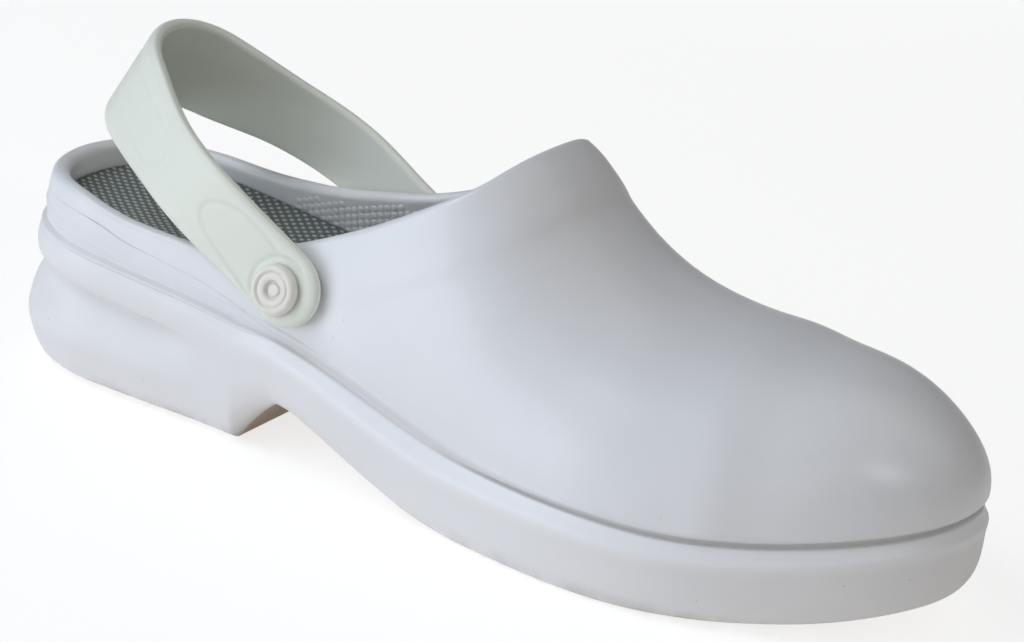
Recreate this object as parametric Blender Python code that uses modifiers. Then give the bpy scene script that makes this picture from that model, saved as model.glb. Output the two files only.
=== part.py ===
"""Safety clog, right shoe: moulded upper, cup sole, insole, heel strap and two pivot rivets.

Stations run along the shoe from the heel back (0) to the toe tip. +X points to the toe,
+Y to the wearer's left, which is the inner side of a right shoe, and +Z up.
"""
import math

import bmesh
import bpy
import numpy as np
from mathutils import Matrix, Vector

MM = 0.001

# Driving sizes, in millimetres: overall length and the rounding of heel and toe in plan and side view
LENGTH = 284.2
HEEL_ROUND = 36.4
HEEL_ROUND_POWER = 2.3
TOE_ROUND = 71.8
TOE_ROUND_POWER = 2.21
TOE_TOP_ROUND = 36.0
TOE_TOP_POWER = 2.3
BACK_LEAN = 0.1
BACK_LEAN_REACH = 50.0

# Gap between neighbours, the groove between upper and sole, the upper's edges, and the insole
GAP = 0.3
GROOVE_DEPTH = 1.6
EDGE_RADIUS = 2.4
EDGE_STEP = 0.7
RIM_RADIUS = 1.7
INSOLE_THICKNESS = 3.0
INSOLE_CLEARANCE = 0.5

# Mesh layout: columns round the shoe, rows up the walls, and points across the flat faces
HALF_COLUMNS = 38
WALL_ROWS = 11
WALL_ROW_POWER = 1.3
SEAT_POINTS = 5
BOTTOM_POINTS = 3
ROUND_SEGMENTS = 20
BREAST_STATIONS = (78.0, 83.8, 85.2, 87.0, 90.5, 94.5, 99.0, 104.5)
BREAST_CLEAR = 3.0
SHARP_ANGLE = 40.0
WELD = 0.00001

# Stations that the columns fan out from round the heel and the toe
HEEL_HUB = 45.0
TOE_HUB = 222.0

# Fineness of the curves that the meshes are read from
DENSE_POINTS = 1200
LINE_POINTS = 48
CAST_HALVINGS = 44
NORMAL_PROBE = 0.4
STEEPEST = 5.0

# Heel strap and its rivets
PIVOT_STATION = 97.4
PIVOT_HEIGHT = 50.4
STRAP_RISE = 27.2
STRAP_REACH = 87.2
STRAP_BEND_RADIUS = 25.0
STRAP_JOIN_ANGLE = 31.0
STRAP_THICKNESS = 3.8
STRAP_EDGE = 1.2
STRAP_CLEARANCE = 1.6
STRAP_SPLAY = 0.13
STRAP_BOW_LATERAL = 2.4
STRAP_BOW_MEDIAL = 3.8
STRAP_TIP_ANGLE = 12.0
STRAP_SIDE_COLUMNS = 14
STRAP_BEND_COLUMNS = 10
STRAP_LOBE_COLUMNS = 6
RIVET_CAP_RADIUS = 7.0
RIVET_CAP_HEIGHT = 2.4
RIVET_RING_RADIUS = 4.5
RIVET_PIN_RADIUS = 2.4
RIVET_STEM_RADIUS = 2.6
RIVET_HEAD_RADIUS = 5.0
RIVET_HEAD_HEIGHT = 1.0
RIVET_HEAD_CLEARANCE = 1.0
RIVET_CAP_CLEARANCE = 0.75

# Tread: shallow channels across the heel and the forefoot
TREAD_DEPTH = 2.0
TREAD_WIDTH = 5.0
TREAD_MARGIN = 11.0
TREAD_STATIONS = (22.0, 38.0, 60.0, 74.0, 166.0, 197.0, 212.0, 227.0, 242.0, 256.0)


def smooth(knots, values, x):
    """Natural cubic spline through a few knots."""
    knots = np.asarray(knots, float)
    values = np.asarray(values, float)
    step = np.diff(knots)
    slope = np.diff(values) / step
    count = len(knots)
    matrix = np.eye(count)
    right = np.zeros(count)
    for i in range(1, count - 1):
        matrix[i, i - 1:i + 2] = step[i - 1], 2.0 * (step[i - 1] + step[i]), step[i]
        right[i] = 6.0 * (slope[i] - slope[i - 1])
    bend = np.linalg.solve(matrix, right)
    x = np.clip(x, knots[0], knots[-1])
    i = np.clip(np.searchsorted(knots, x, side="right") - 1, 0, count - 2)
    before = x - knots[i]
    after = knots[i + 1] - x
    cubic = (bend[i] * after ** 3 + bend[i + 1] * before ** 3) / (6.0 * step[i])
    left = (values[i] / step[i] - bend[i] * step[i] / 6.0) * after
    return cubic + left + (values[i + 1] / step[i] - bend[i + 1] * step[i] / 6.0) * before


def steady(knots, values, x):
    """Cubic curve through a few knots that never overshoots them."""
    knots = np.asarray(knots, float)
    values = np.asarray(values, float)
    step = np.diff(knots)
    slope = np.diff(values) / step
    turn = slope[:-1] * slope[1:]
    total = np.where(turn > 0, slope[:-1] + slope[1:], 1.0)
    inner = np.where(turn > 0, 2.0 * turn / total, 0.0)
    tangent = np.concatenate([[slope[0]], inner, [slope[-1]]])
    x = np.clip(x, knots[0], knots[-1])
    i = np.clip(np.searchsorted(knots, x, side="right") - 1, 0, len(step) - 1)
    t = (x - knots[i]) / step[i]
    start = (1.0 + 2.0 * t) * (1.0 - t) ** 2 * values[i] + t * (1.0 - t) ** 2 * step[i] * tangent[i]
    return start + t ** 2 * (3.0 - 2.0 * t) * values[i + 1] + t ** 2 * (t - 1.0) * step[i] * tangent[i + 1]


class Table:
    """A short table with named columns, read along its first column."""

    def __init__(self, curve, columns, rows):
        self.curve = curve
        self.values = dict(zip(columns, np.array(rows, float).T))
        self.knots = self.values[columns[0]]

    def at(self, column, x):
        return self.curve(self.knots, self.values[column], np.asarray(x, float))


# Sections of the last from heel to toe. Half widths and heights are taken at the seam and the ridge;
# behind the throat the ridge is the height to which the open walls would close.
SECTION_COLUMNS = ("station", "centre", "half_width", "seam", "ridge", "square", "lean", "wall", "tilt")
SECTIONS = Table(smooth, SECTION_COLUMNS, (
    (0.0, 0.0, 38.6, 48.5, 145.0, 2.4, 0.24, 5.0, 0.0),
    (50.0, 0.0, 38.7, 41.0, 145.0, 2.4, 0.26, 5.0, 0.0),
    (100.0, 0.0, 39.7, 36.0, 138.0, 2.4, 0.25, 4.2, 1.0),
    (130.0, 0.0, 43.3, 29.8, 118.3, 2.4, 0.09, 4.0, 4.0),
    (156.0, 0.0, 47.0, 24.6, 93.4, 2.4, 0.0, 3.6, 6.0),
    (172.0, 0.0, 49.3, 23.2, 79.0, 2.35, 0.0, 3.6, 6.0),
    (198.0, 0.3, 51.6, 22.6, 67.6, 2.3, 0.0, 3.8, 5.0),
    (230.0, 3.4, 49.0, 23.2, 65.1, 2.3, 0.0, 4.0, 3.0),
    (258.0, 7.0, 44.5, 27.7, 62.0, 2.3, 0.0, 4.2, 1.0),
    (285.0, 10.2, 42.0, 35.0, 55.6, 2.3, 0.0, 4.2, 0.0),
))
# Height of the topline in side view, from the heel back to the throat
TOPLINE = Table(steady, ("station", "lateral", "medial"), (
    (0.0, 58.3, 58.3), (20.0, 57.6, 56.4), (45.0, 53.8, 55.6), (65.0, 52.9, 57.0),
    (86.0, 57.8, 60.9), (112.0, 69.5, 69.2), (134.0, 82.5, 82.5), (144.6, 90.0, 90.0),
    (151.6, 97.8, 97.8),
))
# Underside in side view: flat heel, breast and shank, flat forefoot, toe spring
UNDERSIDE = Table(steady, ("station", "height"), (
    (0.0, 0.0), (84.3, 0.0), (87.0, 4.3), (90.5, 8.8), (94.5, 12.9), (99.0, 15.9),
    (104.0, 15.6), (110.0, 13.8), (122.0, 9.5), (137.0, 4.6), (151.0, 1.2), (165.0, 0.0),
    (205.0, 0.0), (230.0, 0.9), (255.0, 3.6), (285.0, 10.4),
))
# Edge of the insole's face, and how far it dips in the middle
FOOTBED = Table(steady, ("station", "edge", "cup"), (
    (0.0, 50.8, 3.5), (35.0, 49.0, 3.5), (73.0, 45.0, 3.0), (110.0, 38.0, 1.6),
    (150.0, 28.4, 1.0), (190.0, 23.0, 1.0), (230.0, 24.0, 1.0), (285.0, 35.0, 0.6),
))
# Steps of the sole's side from the groove down: share of the height at heel and forefoot, then how
# far each stands out of the seam line at the stations that head the columns
SIDE_STATIONS = (0.0, 20.0, 58.0, 73.0, 86.0, 106.0, 190.0, 285.0)
SIDE_STEPS = (
    # name, heel share, fore share, then one column for each side station
    ("lip", 0.035, 0.06, 0.2, 0.2, 0.3, 0.4, 0.6, 0.8, 0.3, 0.3),
    ("welt", 0.09, 0.14, 1.2, 0.9, 0.9, 1.2, 1.8, 2.2, 0.9, 0.9),
    ("roll", 0.19, 0.30, 1.7, 1.1, 1.0, 1.2, 1.7, 2.2, 0.6, 0.6),
    ("roll_foot", 0.30, 0.45, 0.6, 0.2, 0.2, 0.9, 1.3, 1.9, 0.3, 0.3),
    ("channel", 0.355, 0.55, -1.7, -2.4, -2.6, 0.5, 1.0, 1.6, 0.1, 0.0),
    ("scoop", 0.47, 0.66, 0.8, -1.5, -1.8, 0.0, 0.5, 1.2, -0.2, -0.4),
    ("shoulder", 0.62, 0.76, 2.6, 0.3, -0.4, -0.6, -0.4, 0.6, -0.6, -0.8),
    ("bulge", 0.74, 0.85, 2.6, 0.0, -0.7, -1.2, -1.4, -0.2, -1.2, -1.4),
    ("foot", 0.90, 0.94, -0.4, -3.0, -3.2, -3.4, -3.6, -1.4, -2.2, -2.4),
    ("tread", 0.97, 0.985, -3.4, -6.0, -5.8, -6.0, -6.0, -2.6, -3.6, -3.8),
    ("bottom", 1.0, 1.0, -6.8, -8.8, -8.4, -8.6, -8.6, -4.4, -5.6, -5.8),
)
# Stations over which the heel's share of the height gives way to the forefoot's
SIDE_BLEND = (62.0, 104.0)
# Strap width along its length, as a share of the way from pivot to back
STRAP_WIDTH = Table(steady, ("share", "width"), (
    (0.0, 22.2), (0.3, 24.2), (0.6, 24.6), (1.0, 28.4),
))
# Lean of the strap's face along its length: inwards at the pivots, outwards at the back
STRAP_LEAN = Table(steady, ("share", "angle"), ((0.0, 9.0), (0.4, 2.0), (1.0, 1.0)))
# Station of the topline that each station of the seam runs up to
TOPLINE_MATCH = Table(steady, ("seam", "topline"), (
    (0.0, 0.0), (45.0, 45.0), (110.0, 105.0), (170.0, 134.0), (240.0, 148.5), (LENGTH, 151.6),
))


def ease(start, end, x):
    """Rises smoothly from 0 at start to 1 at end."""
    t = np.clip((x - start) / (end - start), 0.0, 1.0)
    return t * t * (3.0 - 2.0 * t)


def end_rounding(station):
    """Share of the full width that the round heel and toe leave at a station."""
    heel = np.clip(1.0 - station / HEEL_ROUND, 0.0, 1.0)
    toe = np.clip((station - LENGTH + TOE_ROUND) / TOE_ROUND, 0.0, 1.0)
    heel = (1.0 - heel ** HEEL_ROUND_POWER) ** (1.0 / HEEL_ROUND_POWER)
    return heel * (1.0 - toe ** TOE_ROUND_POWER) ** (1.0 / TOE_ROUND_POWER)


def seam_half_width(station):
    return SECTIONS.at("half_width", station) * end_rounding(station)


def last_value(point):
    """Negative inside the last, positive outside it."""
    station, y, z = point[..., 0], point[..., 1], point[..., 2]
    outside = (station < 0.0) | (station > LENGTH)
    station = np.clip(station, 0.0, LENGTH)
    seam = SECTIONS.at("seam", station)
    height = np.maximum(z - seam, 0.0)
    toe = np.clip((station - LENGTH + TOE_TOP_ROUND) / TOE_TOP_ROUND, 0.0, 1.0)
    top = (SECTIONS.at("ridge", station) - seam) * (1.0 - toe ** TOE_TOP_POWER) ** (1.0 / TOE_TOP_POWER)
    rise = height / np.maximum(top, 0.001)
    back = BACK_LEAN * height * np.clip(1.0 - station / BACK_LEAN_REACH, 0.0, 1.0)
    half = SECTIONS.at("half_width", station) * end_rounding(np.maximum(station - back, 0.0))
    half = np.maximum(half - SECTIONS.at("lean", station) * height, 0.001)
    middle = SECTIONS.at("centre", station) + SECTIONS.at("tilt", station) * np.minimum(rise, 1.0)
    power = SECTIONS.at("square", station)
    value = (np.abs(y - middle) / half) ** power + rise ** power - 1.0
    return np.where(outside, 1.0, value)


def last_normal(point):
    """Outward direction of the last's surface, by central differences."""
    probes = NORMAL_PROBE * np.eye(3)
    slope = np.stack([last_value(point + probe) - last_value(point - probe) for probe in probes], -1)
    return unit(np.clip(slope, -STEEPEST, STEEPEST))


def cast(origin, direction):
    """Point where each ray from inside the last leaves it, by halving."""
    near = np.zeros(direction.shape[:-1])
    far = np.full(direction.shape[:-1], LENGTH)
    for _ in range(CAST_HALVINGS):
        middle = (near + far) / 2.0
        inside = last_value(origin + middle[..., None] * direction) < 0.0
        near = np.where(inside, middle, near)
        far = np.where(inside, far, middle)
    return origin + near[..., None] * direction


def column_stations():
    """Stations of the columns, even along the outline, with extra ones at the heel breast."""
    dense = LENGTH * (1.0 - np.cos(np.linspace(0.0, math.pi, DENSE_POINTS))) / 2.0
    width = seam_half_width(dense)
    length = np.concatenate([[0.0], np.cumsum(np.hypot(np.diff(dense), np.diff(width)))])
    stations = np.interp(np.linspace(0.0, length[-1], HALF_COLUMNS + 1), length, dense)
    clear = (stations < BREAST_STATIONS[0] - BREAST_CLEAR) | (stations > BREAST_STATIONS[-1] + BREAST_CLEAR)
    return np.sort(np.concatenate([stations[clear], BREAST_STATIONS]))


STATIONS = column_stations()
LOOP_STATIONS = np.concatenate([STATIONS, STATIONS[-2:0:-1]])
LOOP_SIDE = np.concatenate([-np.ones(len(STATIONS)), np.ones(len(STATIONS) - 2)])


def seam_loop():
    """The seam line between upper and sole, as a ring of points with plan normals."""
    y = SECTIONS.at("centre", LOOP_STATIONS) + LOOP_SIDE * seam_half_width(LOOP_STATIONS)
    ring = np.stack([LOOP_STATIONS, y, SECTIONS.at("seam", LOOP_STATIONS)], -1)
    along = np.roll(ring, -1, axis=0) - np.roll(ring, 1, axis=0)
    normal = np.stack([along[:, 1], -along[:, 0], 0.0 * along[:, 0]], -1)
    return ring, normal / np.linalg.norm(normal, axis=1, keepdims=True)


SEAM, SEAM_NORMAL = seam_loop()


def seam_offset(out, height):
    """The seam ring moved outwards in plan, at the given heights."""
    out = np.broadcast_to(out, LOOP_STATIONS.shape)
    ring = SEAM + out[:, None] * SEAM_NORMAL
    ring[:, 2] = height
    return ring


def unit(vector):
    return vector / np.linalg.norm(vector, axis=-1, keepdims=True)


def topline_ring():
    """Points of the topline on the last, one for each column of the seam ring."""
    station = TOPLINE_MATCH.at("topline", LOOP_STATIONS)
    height = np.where(LOOP_SIDE < 0.0, TOPLINE.at("lateral", station), TOPLINE.at("medial", station))
    middle = SECTIONS.at("centre", station) + SECTIONS.at("tilt", station)
    sideways = np.stack([0.0 * station, LOOP_SIDE, 0.0 * station], -1)
    side = cast(np.stack([station, middle, height], -1), sideways)
    hub = np.stack([np.full(len(station), HEEL_HUB), 0.0 * station, height], -1)
    outwards = (SEAM - hub) * (1.0, 1.0, 0.0)
    heel = cast(hub, unit(outwards))
    return np.where((LOOP_STATIONS < HEEL_HUB)[:, None], heel, side)


def wall_lines(topline):
    """Lines on the last from the seam's edge up to the rim, one for each column."""
    hub_station = np.clip(LOOP_STATIONS, HEEL_HUB, TOE_HUB)
    hub = np.stack([hub_station, SECTIONS.at("centre", hub_station), SEAM[:, 2] + EDGE_RADIUS], -1)[:, None]
    start = unit((SEAM[:, None] - hub) * (1.0, 1.0, 0.0))
    end = unit(topline[:, None] - hub)
    share = np.linspace(0.0, 1.0, LINE_POINTS)[None, :, None]
    lines = cast(hub, unit(start * (1.0 - share) + end * share))
    lines[:, -1] = topline
    gaps = np.linalg.norm(np.diff(lines, axis=1), axis=-1)
    along = np.concatenate([np.zeros((len(lines), 1)), np.cumsum(gaps, axis=1)], axis=1)
    rows = np.zeros((WALL_ROWS, len(lines), 3))
    for i, (line, length) in enumerate(zip(lines, along)):
        want = (length[-1] - RIM_RADIUS) * np.linspace(0.0, 1.0, WALL_ROWS) ** WALL_ROW_POWER
        rows[:, i] = np.stack([np.interp(want, length, line[:, axis]) for axis in range(3)], -1)
    return rows


def stack_rings(rings):
    """Vertices and quads of rings laid one on the next."""
    count = len(rings[0])
    faces = []
    for i in range(len(rings) - 1):
        for j in range(count):
            after = (j + 1) % count
            faces.append((i * count + j, i * count + after, (i + 1) * count + after, (i + 1) * count + j))
    return np.concatenate(rings), faces


def span_ring(vertices, faces, first, ring, shape, points):
    """Closes a ring, which starts at index first, with strips across it shaped by shape(station, share)."""
    last = len(STATIONS) - 1
    count = len(ring)
    rows = [[first]]
    extra = []
    start = len(vertices)
    for j in range(1, last):
        outer, inner = ring[j], ring[count - j]
        row = [first + j]
        for k in range(1, points + 1):
            share = k / (points + 1)
            point = outer + (inner - outer) * share
            point[2] = shape(STATIONS[j], share)
            row.append(start + len(extra))
            extra.append(point)
        rows.append(row + [first + count - j])
    rows.append([first + last])
    for here, ahead in zip(rows, rows[1:]):
        for k in range(points + 1):
            corners = [here[min(k, len(here) - 1)], here[min(k + 1, len(here) - 1)],
                       ahead[min(k + 1, len(ahead) - 1)], ahead[min(k, len(ahead) - 1)]]
            faces.append(tuple(dict.fromkeys(corners)))
    return np.concatenate([vertices, np.array(extra)]), faces


def footbed_height(station, share, sink):
    """Height of the footbed at a share of the way across it, lowered by sink."""
    dip = 1.0 - (2.0 * share - 1.0) ** 2
    return float(FOOTBED.at("edge", station) - FOOTBED.at("cup", station) * dip - sink)


def inner_offset(height, clearance):
    """How far inside the seam line a piece stops short of the upper's inner wall."""
    above = np.maximum(height - SEAM[:, 2], 0.0)
    return -(SECTIONS.at("wall", LOOP_STATIONS) + SECTIONS.at("lean", LOOP_STATIONS) * above + clearance)


def upper_shape():
    topline = topline_ring()
    rows = wall_lines(topline)
    foot = SEAM[:, 2] + GAP / 2.0
    rim = topline - 0.5 * SECTIONS.at("wall", topline[:, 0])[:, None] * last_normal(topline)
    inner = [row - SECTIONS.at("wall", row[:, 0])[:, None] * last_normal(row) for row in rows]
    rings = [seam_offset(-GROOVE_DEPTH, foot), seam_offset(-EDGE_STEP, foot + EDGE_STEP)]
    rings += list(rows) + [rim] + inner[::-1]
    rings.append(seam_offset(-SECTIONS.at("wall", LOOP_STATIONS), foot))
    return stack_rings(rings + [rings[0]])


def sole_side_rings():
    """Rings of the sole's side from the groove down to the edge of the underside."""
    bottom = UNDERSIDE.at("height", LOOP_STATIONS)
    fore = ease(*SIDE_BLEND, LOOP_STATIONS)
    rings = []
    for _, heel_share, fore_share, *outs in SIDE_STEPS:
        share = heel_share + (fore_share - heel_share) * fore
        out = steady(SIDE_STATIONS, outs, LOOP_STATIONS)
        rings.append(seam_offset(out, SEAM[:, 2] + (bottom - SEAM[:, 2]) * share))
    return rings


def sole_shape():
    shelf = SEAM[:, 2] - GAP / 2.0
    sink = INSOLE_THICKNESS + GAP
    seat = FOOTBED.at("edge", LOOP_STATIONS) - sink
    rings = [
        seam_offset(inner_offset(seat, INSOLE_CLEARANCE), seat),
        seam_offset(inner_offset(shelf, GAP), shelf),
        seam_offset(-GROOVE_DEPTH, shelf),
    ]
    rings += sole_side_rings()
    vertices, faces = stack_rings(rings)
    vertices, faces = span_ring(vertices, faces, 0, rings[0],
                                lambda station, share: footbed_height(station, share, sink), SEAT_POINTS)
    last = (len(rings) - 1) * len(rings[0])
    return span_ring(vertices, faces, last, rings[-1],
                     lambda station, share: float(UNDERSIDE.at("height", station)), BOTTOM_POINTS)


def insole_shape():
    top = FOOTBED.at("edge", LOOP_STATIONS)
    edge = inner_offset(top, 2.0 * INSOLE_CLEARANCE)
    rings = [seam_offset(edge, top), seam_offset(edge, top - INSOLE_THICKNESS)]
    vertices, faces = stack_rings(rings)
    vertices, faces = span_ring(vertices, faces, 0, rings[0],
                                lambda station, share: footbed_height(station, share, 0.0), SEAT_POINTS)
    return span_ring(vertices, faces, len(rings[0]), rings[1],
                     lambda station, share: footbed_height(station, share, INSOLE_THICKNESS), SEAT_POINTS)


def strap_axes():
    """Directions along the strap's plane to the rear and square to that plane."""
    rise = math.radians(STRAP_RISE)
    return np.array([-math.cos(rise), 0.0, math.sin(rise)]), np.array([math.sin(rise), 0.0, math.cos(rise)])


def strap_spread():
    """Half width over the strap at its pivots, clear of the collar wall."""
    wall = cast(np.array([PIVOT_STATION, 0.0, PIVOT_HEIGHT]), np.array([0.0, -1.0, 0.0]))
    return abs(wall[1]) + STRAP_CLEARANCE + STRAP_THICKNESS


def pivot(side):
    """Middle of the strap's outer face at a pivot, and the direction that the face looks in."""
    rearwards, upwards = strap_axes()
    lean = math.radians(STRAP_LEAN.values["angle"][0])
    flat = unit(STRAP_SPLAY * rearwards + np.array([0.0, side, 0.0]))
    point = np.array([PIVOT_STATION, side * strap_spread(), PIVOT_HEIGHT])
    return point, flat * math.cos(lean) + upwards * math.sin(lean)


def strap_path(bow):
    """Half of the strap's outer line in its plane: distance back from the pivots, half width, end share."""
    half = STRAP_WIDTH.values["width"][0] / 2.0
    angles = np.linspace(STRAP_TIP_ANGLE, 90.0, STRAP_LOBE_COLUMNS, endpoint=False)
    lobe = -half * np.cos(np.radians(angles))
    join = math.radians(STRAP_JOIN_ANGLE)
    turn = np.linspace(join, math.pi / 2.0, STRAP_BEND_COLUMNS + 1)
    hub = STRAP_REACH - STRAP_BEND_RADIUS
    run = hub + STRAP_BEND_RADIUS * math.sin(join)
    spread = strap_spread()
    t = np.linspace(0.0, 1.0, STRAP_SIDE_COLUMNS, endpoint=False)
    side = spread - STRAP_SPLAY * run * t * (1.0 - t) ** 2 - spread * t ** 2 * (3.0 - 2.0 * t)
    side += STRAP_BEND_RADIUS * math.cos(join) * t ** 2 * (3.0 - 2.0 * t)
    side += math.tan(join) * run * t ** 2 * (1.0 - t) + bow * (4.0 * t * (1.0 - t)) ** 2
    back = np.concatenate([lobe, run * t, hub + STRAP_BEND_RADIUS * np.sin(turn)])
    width = np.concatenate([spread - STRAP_SPLAY * lobe, side, STRAP_BEND_RADIUS * np.cos(turn)])
    end = np.sqrt(np.clip(1.0 - (np.minimum(back, 0.0) / half) ** 2, 0.0, 1.0))
    return back, width, end


def strap_shape():
    back, lateral, end = strap_path(STRAP_BOW_LATERAL)
    medial = strap_path(STRAP_BOW_MEDIAL)[1]
    rearwards, upwards = strap_axes()
    axis = np.array([PIVOT_STATION, 0.0, PIVOT_HEIGHT])
    line = np.concatenate([np.stack([back, -lateral], -1), np.stack([back, medial], -1)[-2::-1]])
    share = np.concatenate([end, end[-2::-1]])
    along = unit(np.gradient(line, axis=0))
    away = np.stack([along[:, 1], -along[:, 0]], -1)
    reach = np.clip(line[:, 0] / STRAP_REACH, 0.0, 1.0)
    lean = np.radians(STRAP_LEAN.at("angle", reach))[:, None]
    band = STRAP_WIDTH.at("width", reach) / 2.0 * share
    outwards = away[:, :1] * rearwards + away[:, 1:] * np.array([0.0, 1.0, 0.0])
    across = upwards * np.cos(lean) - outwards * np.sin(lean)
    outwards = outwards * np.cos(lean) + upwards * np.sin(lean)
    centre = axis + line[:, :1] * rearwards + line[:, 1:] * np.array([0.0, 1.0, 0.0])
    edge = np.minimum(STRAP_EDGE, band / 2.0)
    face = 0.0 * band
    back_face = face - STRAP_THICKNESS
    corners = ((band - edge, face), (band, face - edge), (band, back_face + edge), (band - edge, back_face))
    corners += tuple((-tall, deep) for tall, deep in corners[::-1])
    sections = np.stack([centre + tall[:, None] * across + deep[:, None] * outwards
                         for tall, deep in corners], 1)
    vertices, faces = stack_rings(list(sections))
    count = len(corners)
    faces.append(tuple(range(count)))
    faces.append(tuple(range(len(vertices) - count, len(vertices))))
    return vertices, faces


def material(name, colour, roughness, metallic=0.0):
    finish = bpy.data.materials.new(name)
    finish.use_nodes = True
    shader = finish.node_tree.nodes["Principled BSDF"]
    shader.inputs["Base Color"].default_value = (*colour, 1.0)
    shader.inputs["Roughness"].default_value = roughness
    shader.inputs["Metallic"].default_value = metallic
    return finish


def add_object(name, mesh, finish, collection, parent):
    """Adds a mesh as a named object with its own finish."""
    item = bpy.data.objects.new(name, mesh)
    mesh.materials.append(finish)
    mesh.shade_smooth()
    mesh.set_sharp_from_angle(angle=math.radians(SHARP_ANGLE))
    collection.objects.link(item)
    item.parent = parent
    return item


def solid_mesh(name, vertices, faces):
    """Closed mesh, in metres, with its faces pointing outwards."""
    mesh = bpy.data.meshes.new(name)
    mesh.from_pydata((np.asarray(vertices) * MM).tolist(), [], faces)
    shape = bmesh.new()
    shape.from_mesh(mesh)
    bmesh.ops.remove_doubles(shape, verts=shape.verts, dist=WELD)
    bmesh.ops.triangulate(shape, faces=shape.faces)
    bmesh.ops.recalc_face_normals(shape, faces=shape.faces)
    shape.to_mesh(mesh)
    shape.free()
    return mesh


def rivet_profile(depth):
    """Half section of a rivet, top to bottom: cap with a ring and a pin, stem, inner head."""
    cap = RIVET_CAP_RADIUS
    high = RIVET_CAP_HEIGHT
    ring = RIVET_RING_RADIUS
    pin = RIVET_PIN_RADIUS
    return (
        (0.0, 0.8 * high), (0.75 * pin, 0.8 * high), (pin, 0.55 * high), (1.2 * pin, 0.55 * high),
        (0.8 * ring, 0.95 * high), (ring, 0.95 * high), (1.12 * ring, 0.75 * high), (1.22 * ring, high),
        (0.92 * cap, 0.85 * high), (cap, 0.45 * high), (cap, 0.0),
        (RIVET_STEM_RADIUS, 0.0), (RIVET_STEM_RADIUS, -depth), (RIVET_HEAD_RADIUS, -depth),
        (RIVET_HEAD_RADIUS, -depth - RIVET_HEAD_HEIGHT), (0.0, -depth - RIVET_HEAD_HEIGHT),
    )


def turned_object(name, profile, finish, collection, parent, point, direction):
    """A profile turned about its own Z axis by a Screw modifier and placed along a direction."""
    mesh = bpy.data.meshes.new(name)
    mesh.from_pydata([(radius * MM, 0.0, height * MM) for radius, height in profile], [
        (i, i + 1) for i in range(len(profile) - 1)], [])
    item = bpy.data.objects.new(name, mesh)
    mesh.materials.append(finish)
    collection.objects.link(item)
    item.parent = parent
    item.location = Vector(point) * MM
    item.rotation_mode = "QUATERNION"
    item.rotation_quaternion = Vector(direction).to_track_quat("Z", "Y")
    screw = item.modifiers.new("turn", "SCREW")
    screw.steps = ROUND_SEGMENTS
    screw.render_steps = ROUND_SEGMENTS
    screw.use_merge_vertices = True
    screw.merge_threshold = WELD
    screw.use_smooth_shade = True
    return item


def cut(item, cutter):
    """Subtracts a cutter from an object."""
    boolean = item.modifiers.new("cut_" + cutter.name, "BOOLEAN")
    boolean.operation = "DIFFERENCE"
    boolean.solver = "EXACT"
    boolean.object = cutter


def add_cutter(name, mesh, cutters, parent):
    cutter = bpy.data.objects.new(name, mesh)
    cutters.objects.link(cutter)
    cutter.parent = parent
    cutter.hide_render = True
    cutter.display_type = "WIRE"
    return cutter


def stem_cutter(name, point, direction, cutters, parent):
    """Round bar that clears a rivet's stem through strap and wall."""
    shape = bmesh.new()
    radius = (RIVET_STEM_RADIUS + GAP) * MM
    bmesh.ops.create_cone(shape, cap_ends=True, segments=ROUND_SEGMENTS, radius1=radius, radius2=radius,
                          depth=6.0 * RIVET_CAP_RADIUS * MM)
    mesh = bpy.data.meshes.new(name)
    shape.to_mesh(mesh)
    shape.free()
    cutter = add_cutter(name, mesh, cutters, parent)
    cutter.location = Vector(point) * MM
    cutter.rotation_mode = "QUATERNION"
    cutter.rotation_quaternion = Vector(direction).to_track_quat("Z", "Y")
    return cutter


def tread_cutter(cutters, parent):
    """Row of bars across the underside that cut its tread channels."""
    shape = bmesh.new()
    for station in TREAD_STATIONS:
        ahead, behind = UNDERSIDE.at("height", station + np.array([0.5, -0.5]) * TREAD_WIDTH)
        slope = math.atan2(behind - ahead, TREAD_WIDTH)
        length = 2.0 * (float(seam_half_width(station)) - TREAD_MARGIN)
        place = Matrix.Translation(Vector((station, float(SECTIONS.at("centre", station)),
                                           float(UNDERSIDE.at("height", station)))) * MM)
        size = Matrix.Diagonal((TREAD_WIDTH * MM, length * MM, 2.0 * TREAD_DEPTH * MM, 1.0))
        bmesh.ops.create_cube(shape, size=1.0, matrix=place @ Matrix.Rotation(slope, 4, "Y") @ size)
    mesh = bpy.data.meshes.new("tread_channels")
    shape.to_mesh(mesh)
    shape.free()
    return add_cutter("tread_channels", mesh, cutters, parent)


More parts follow.
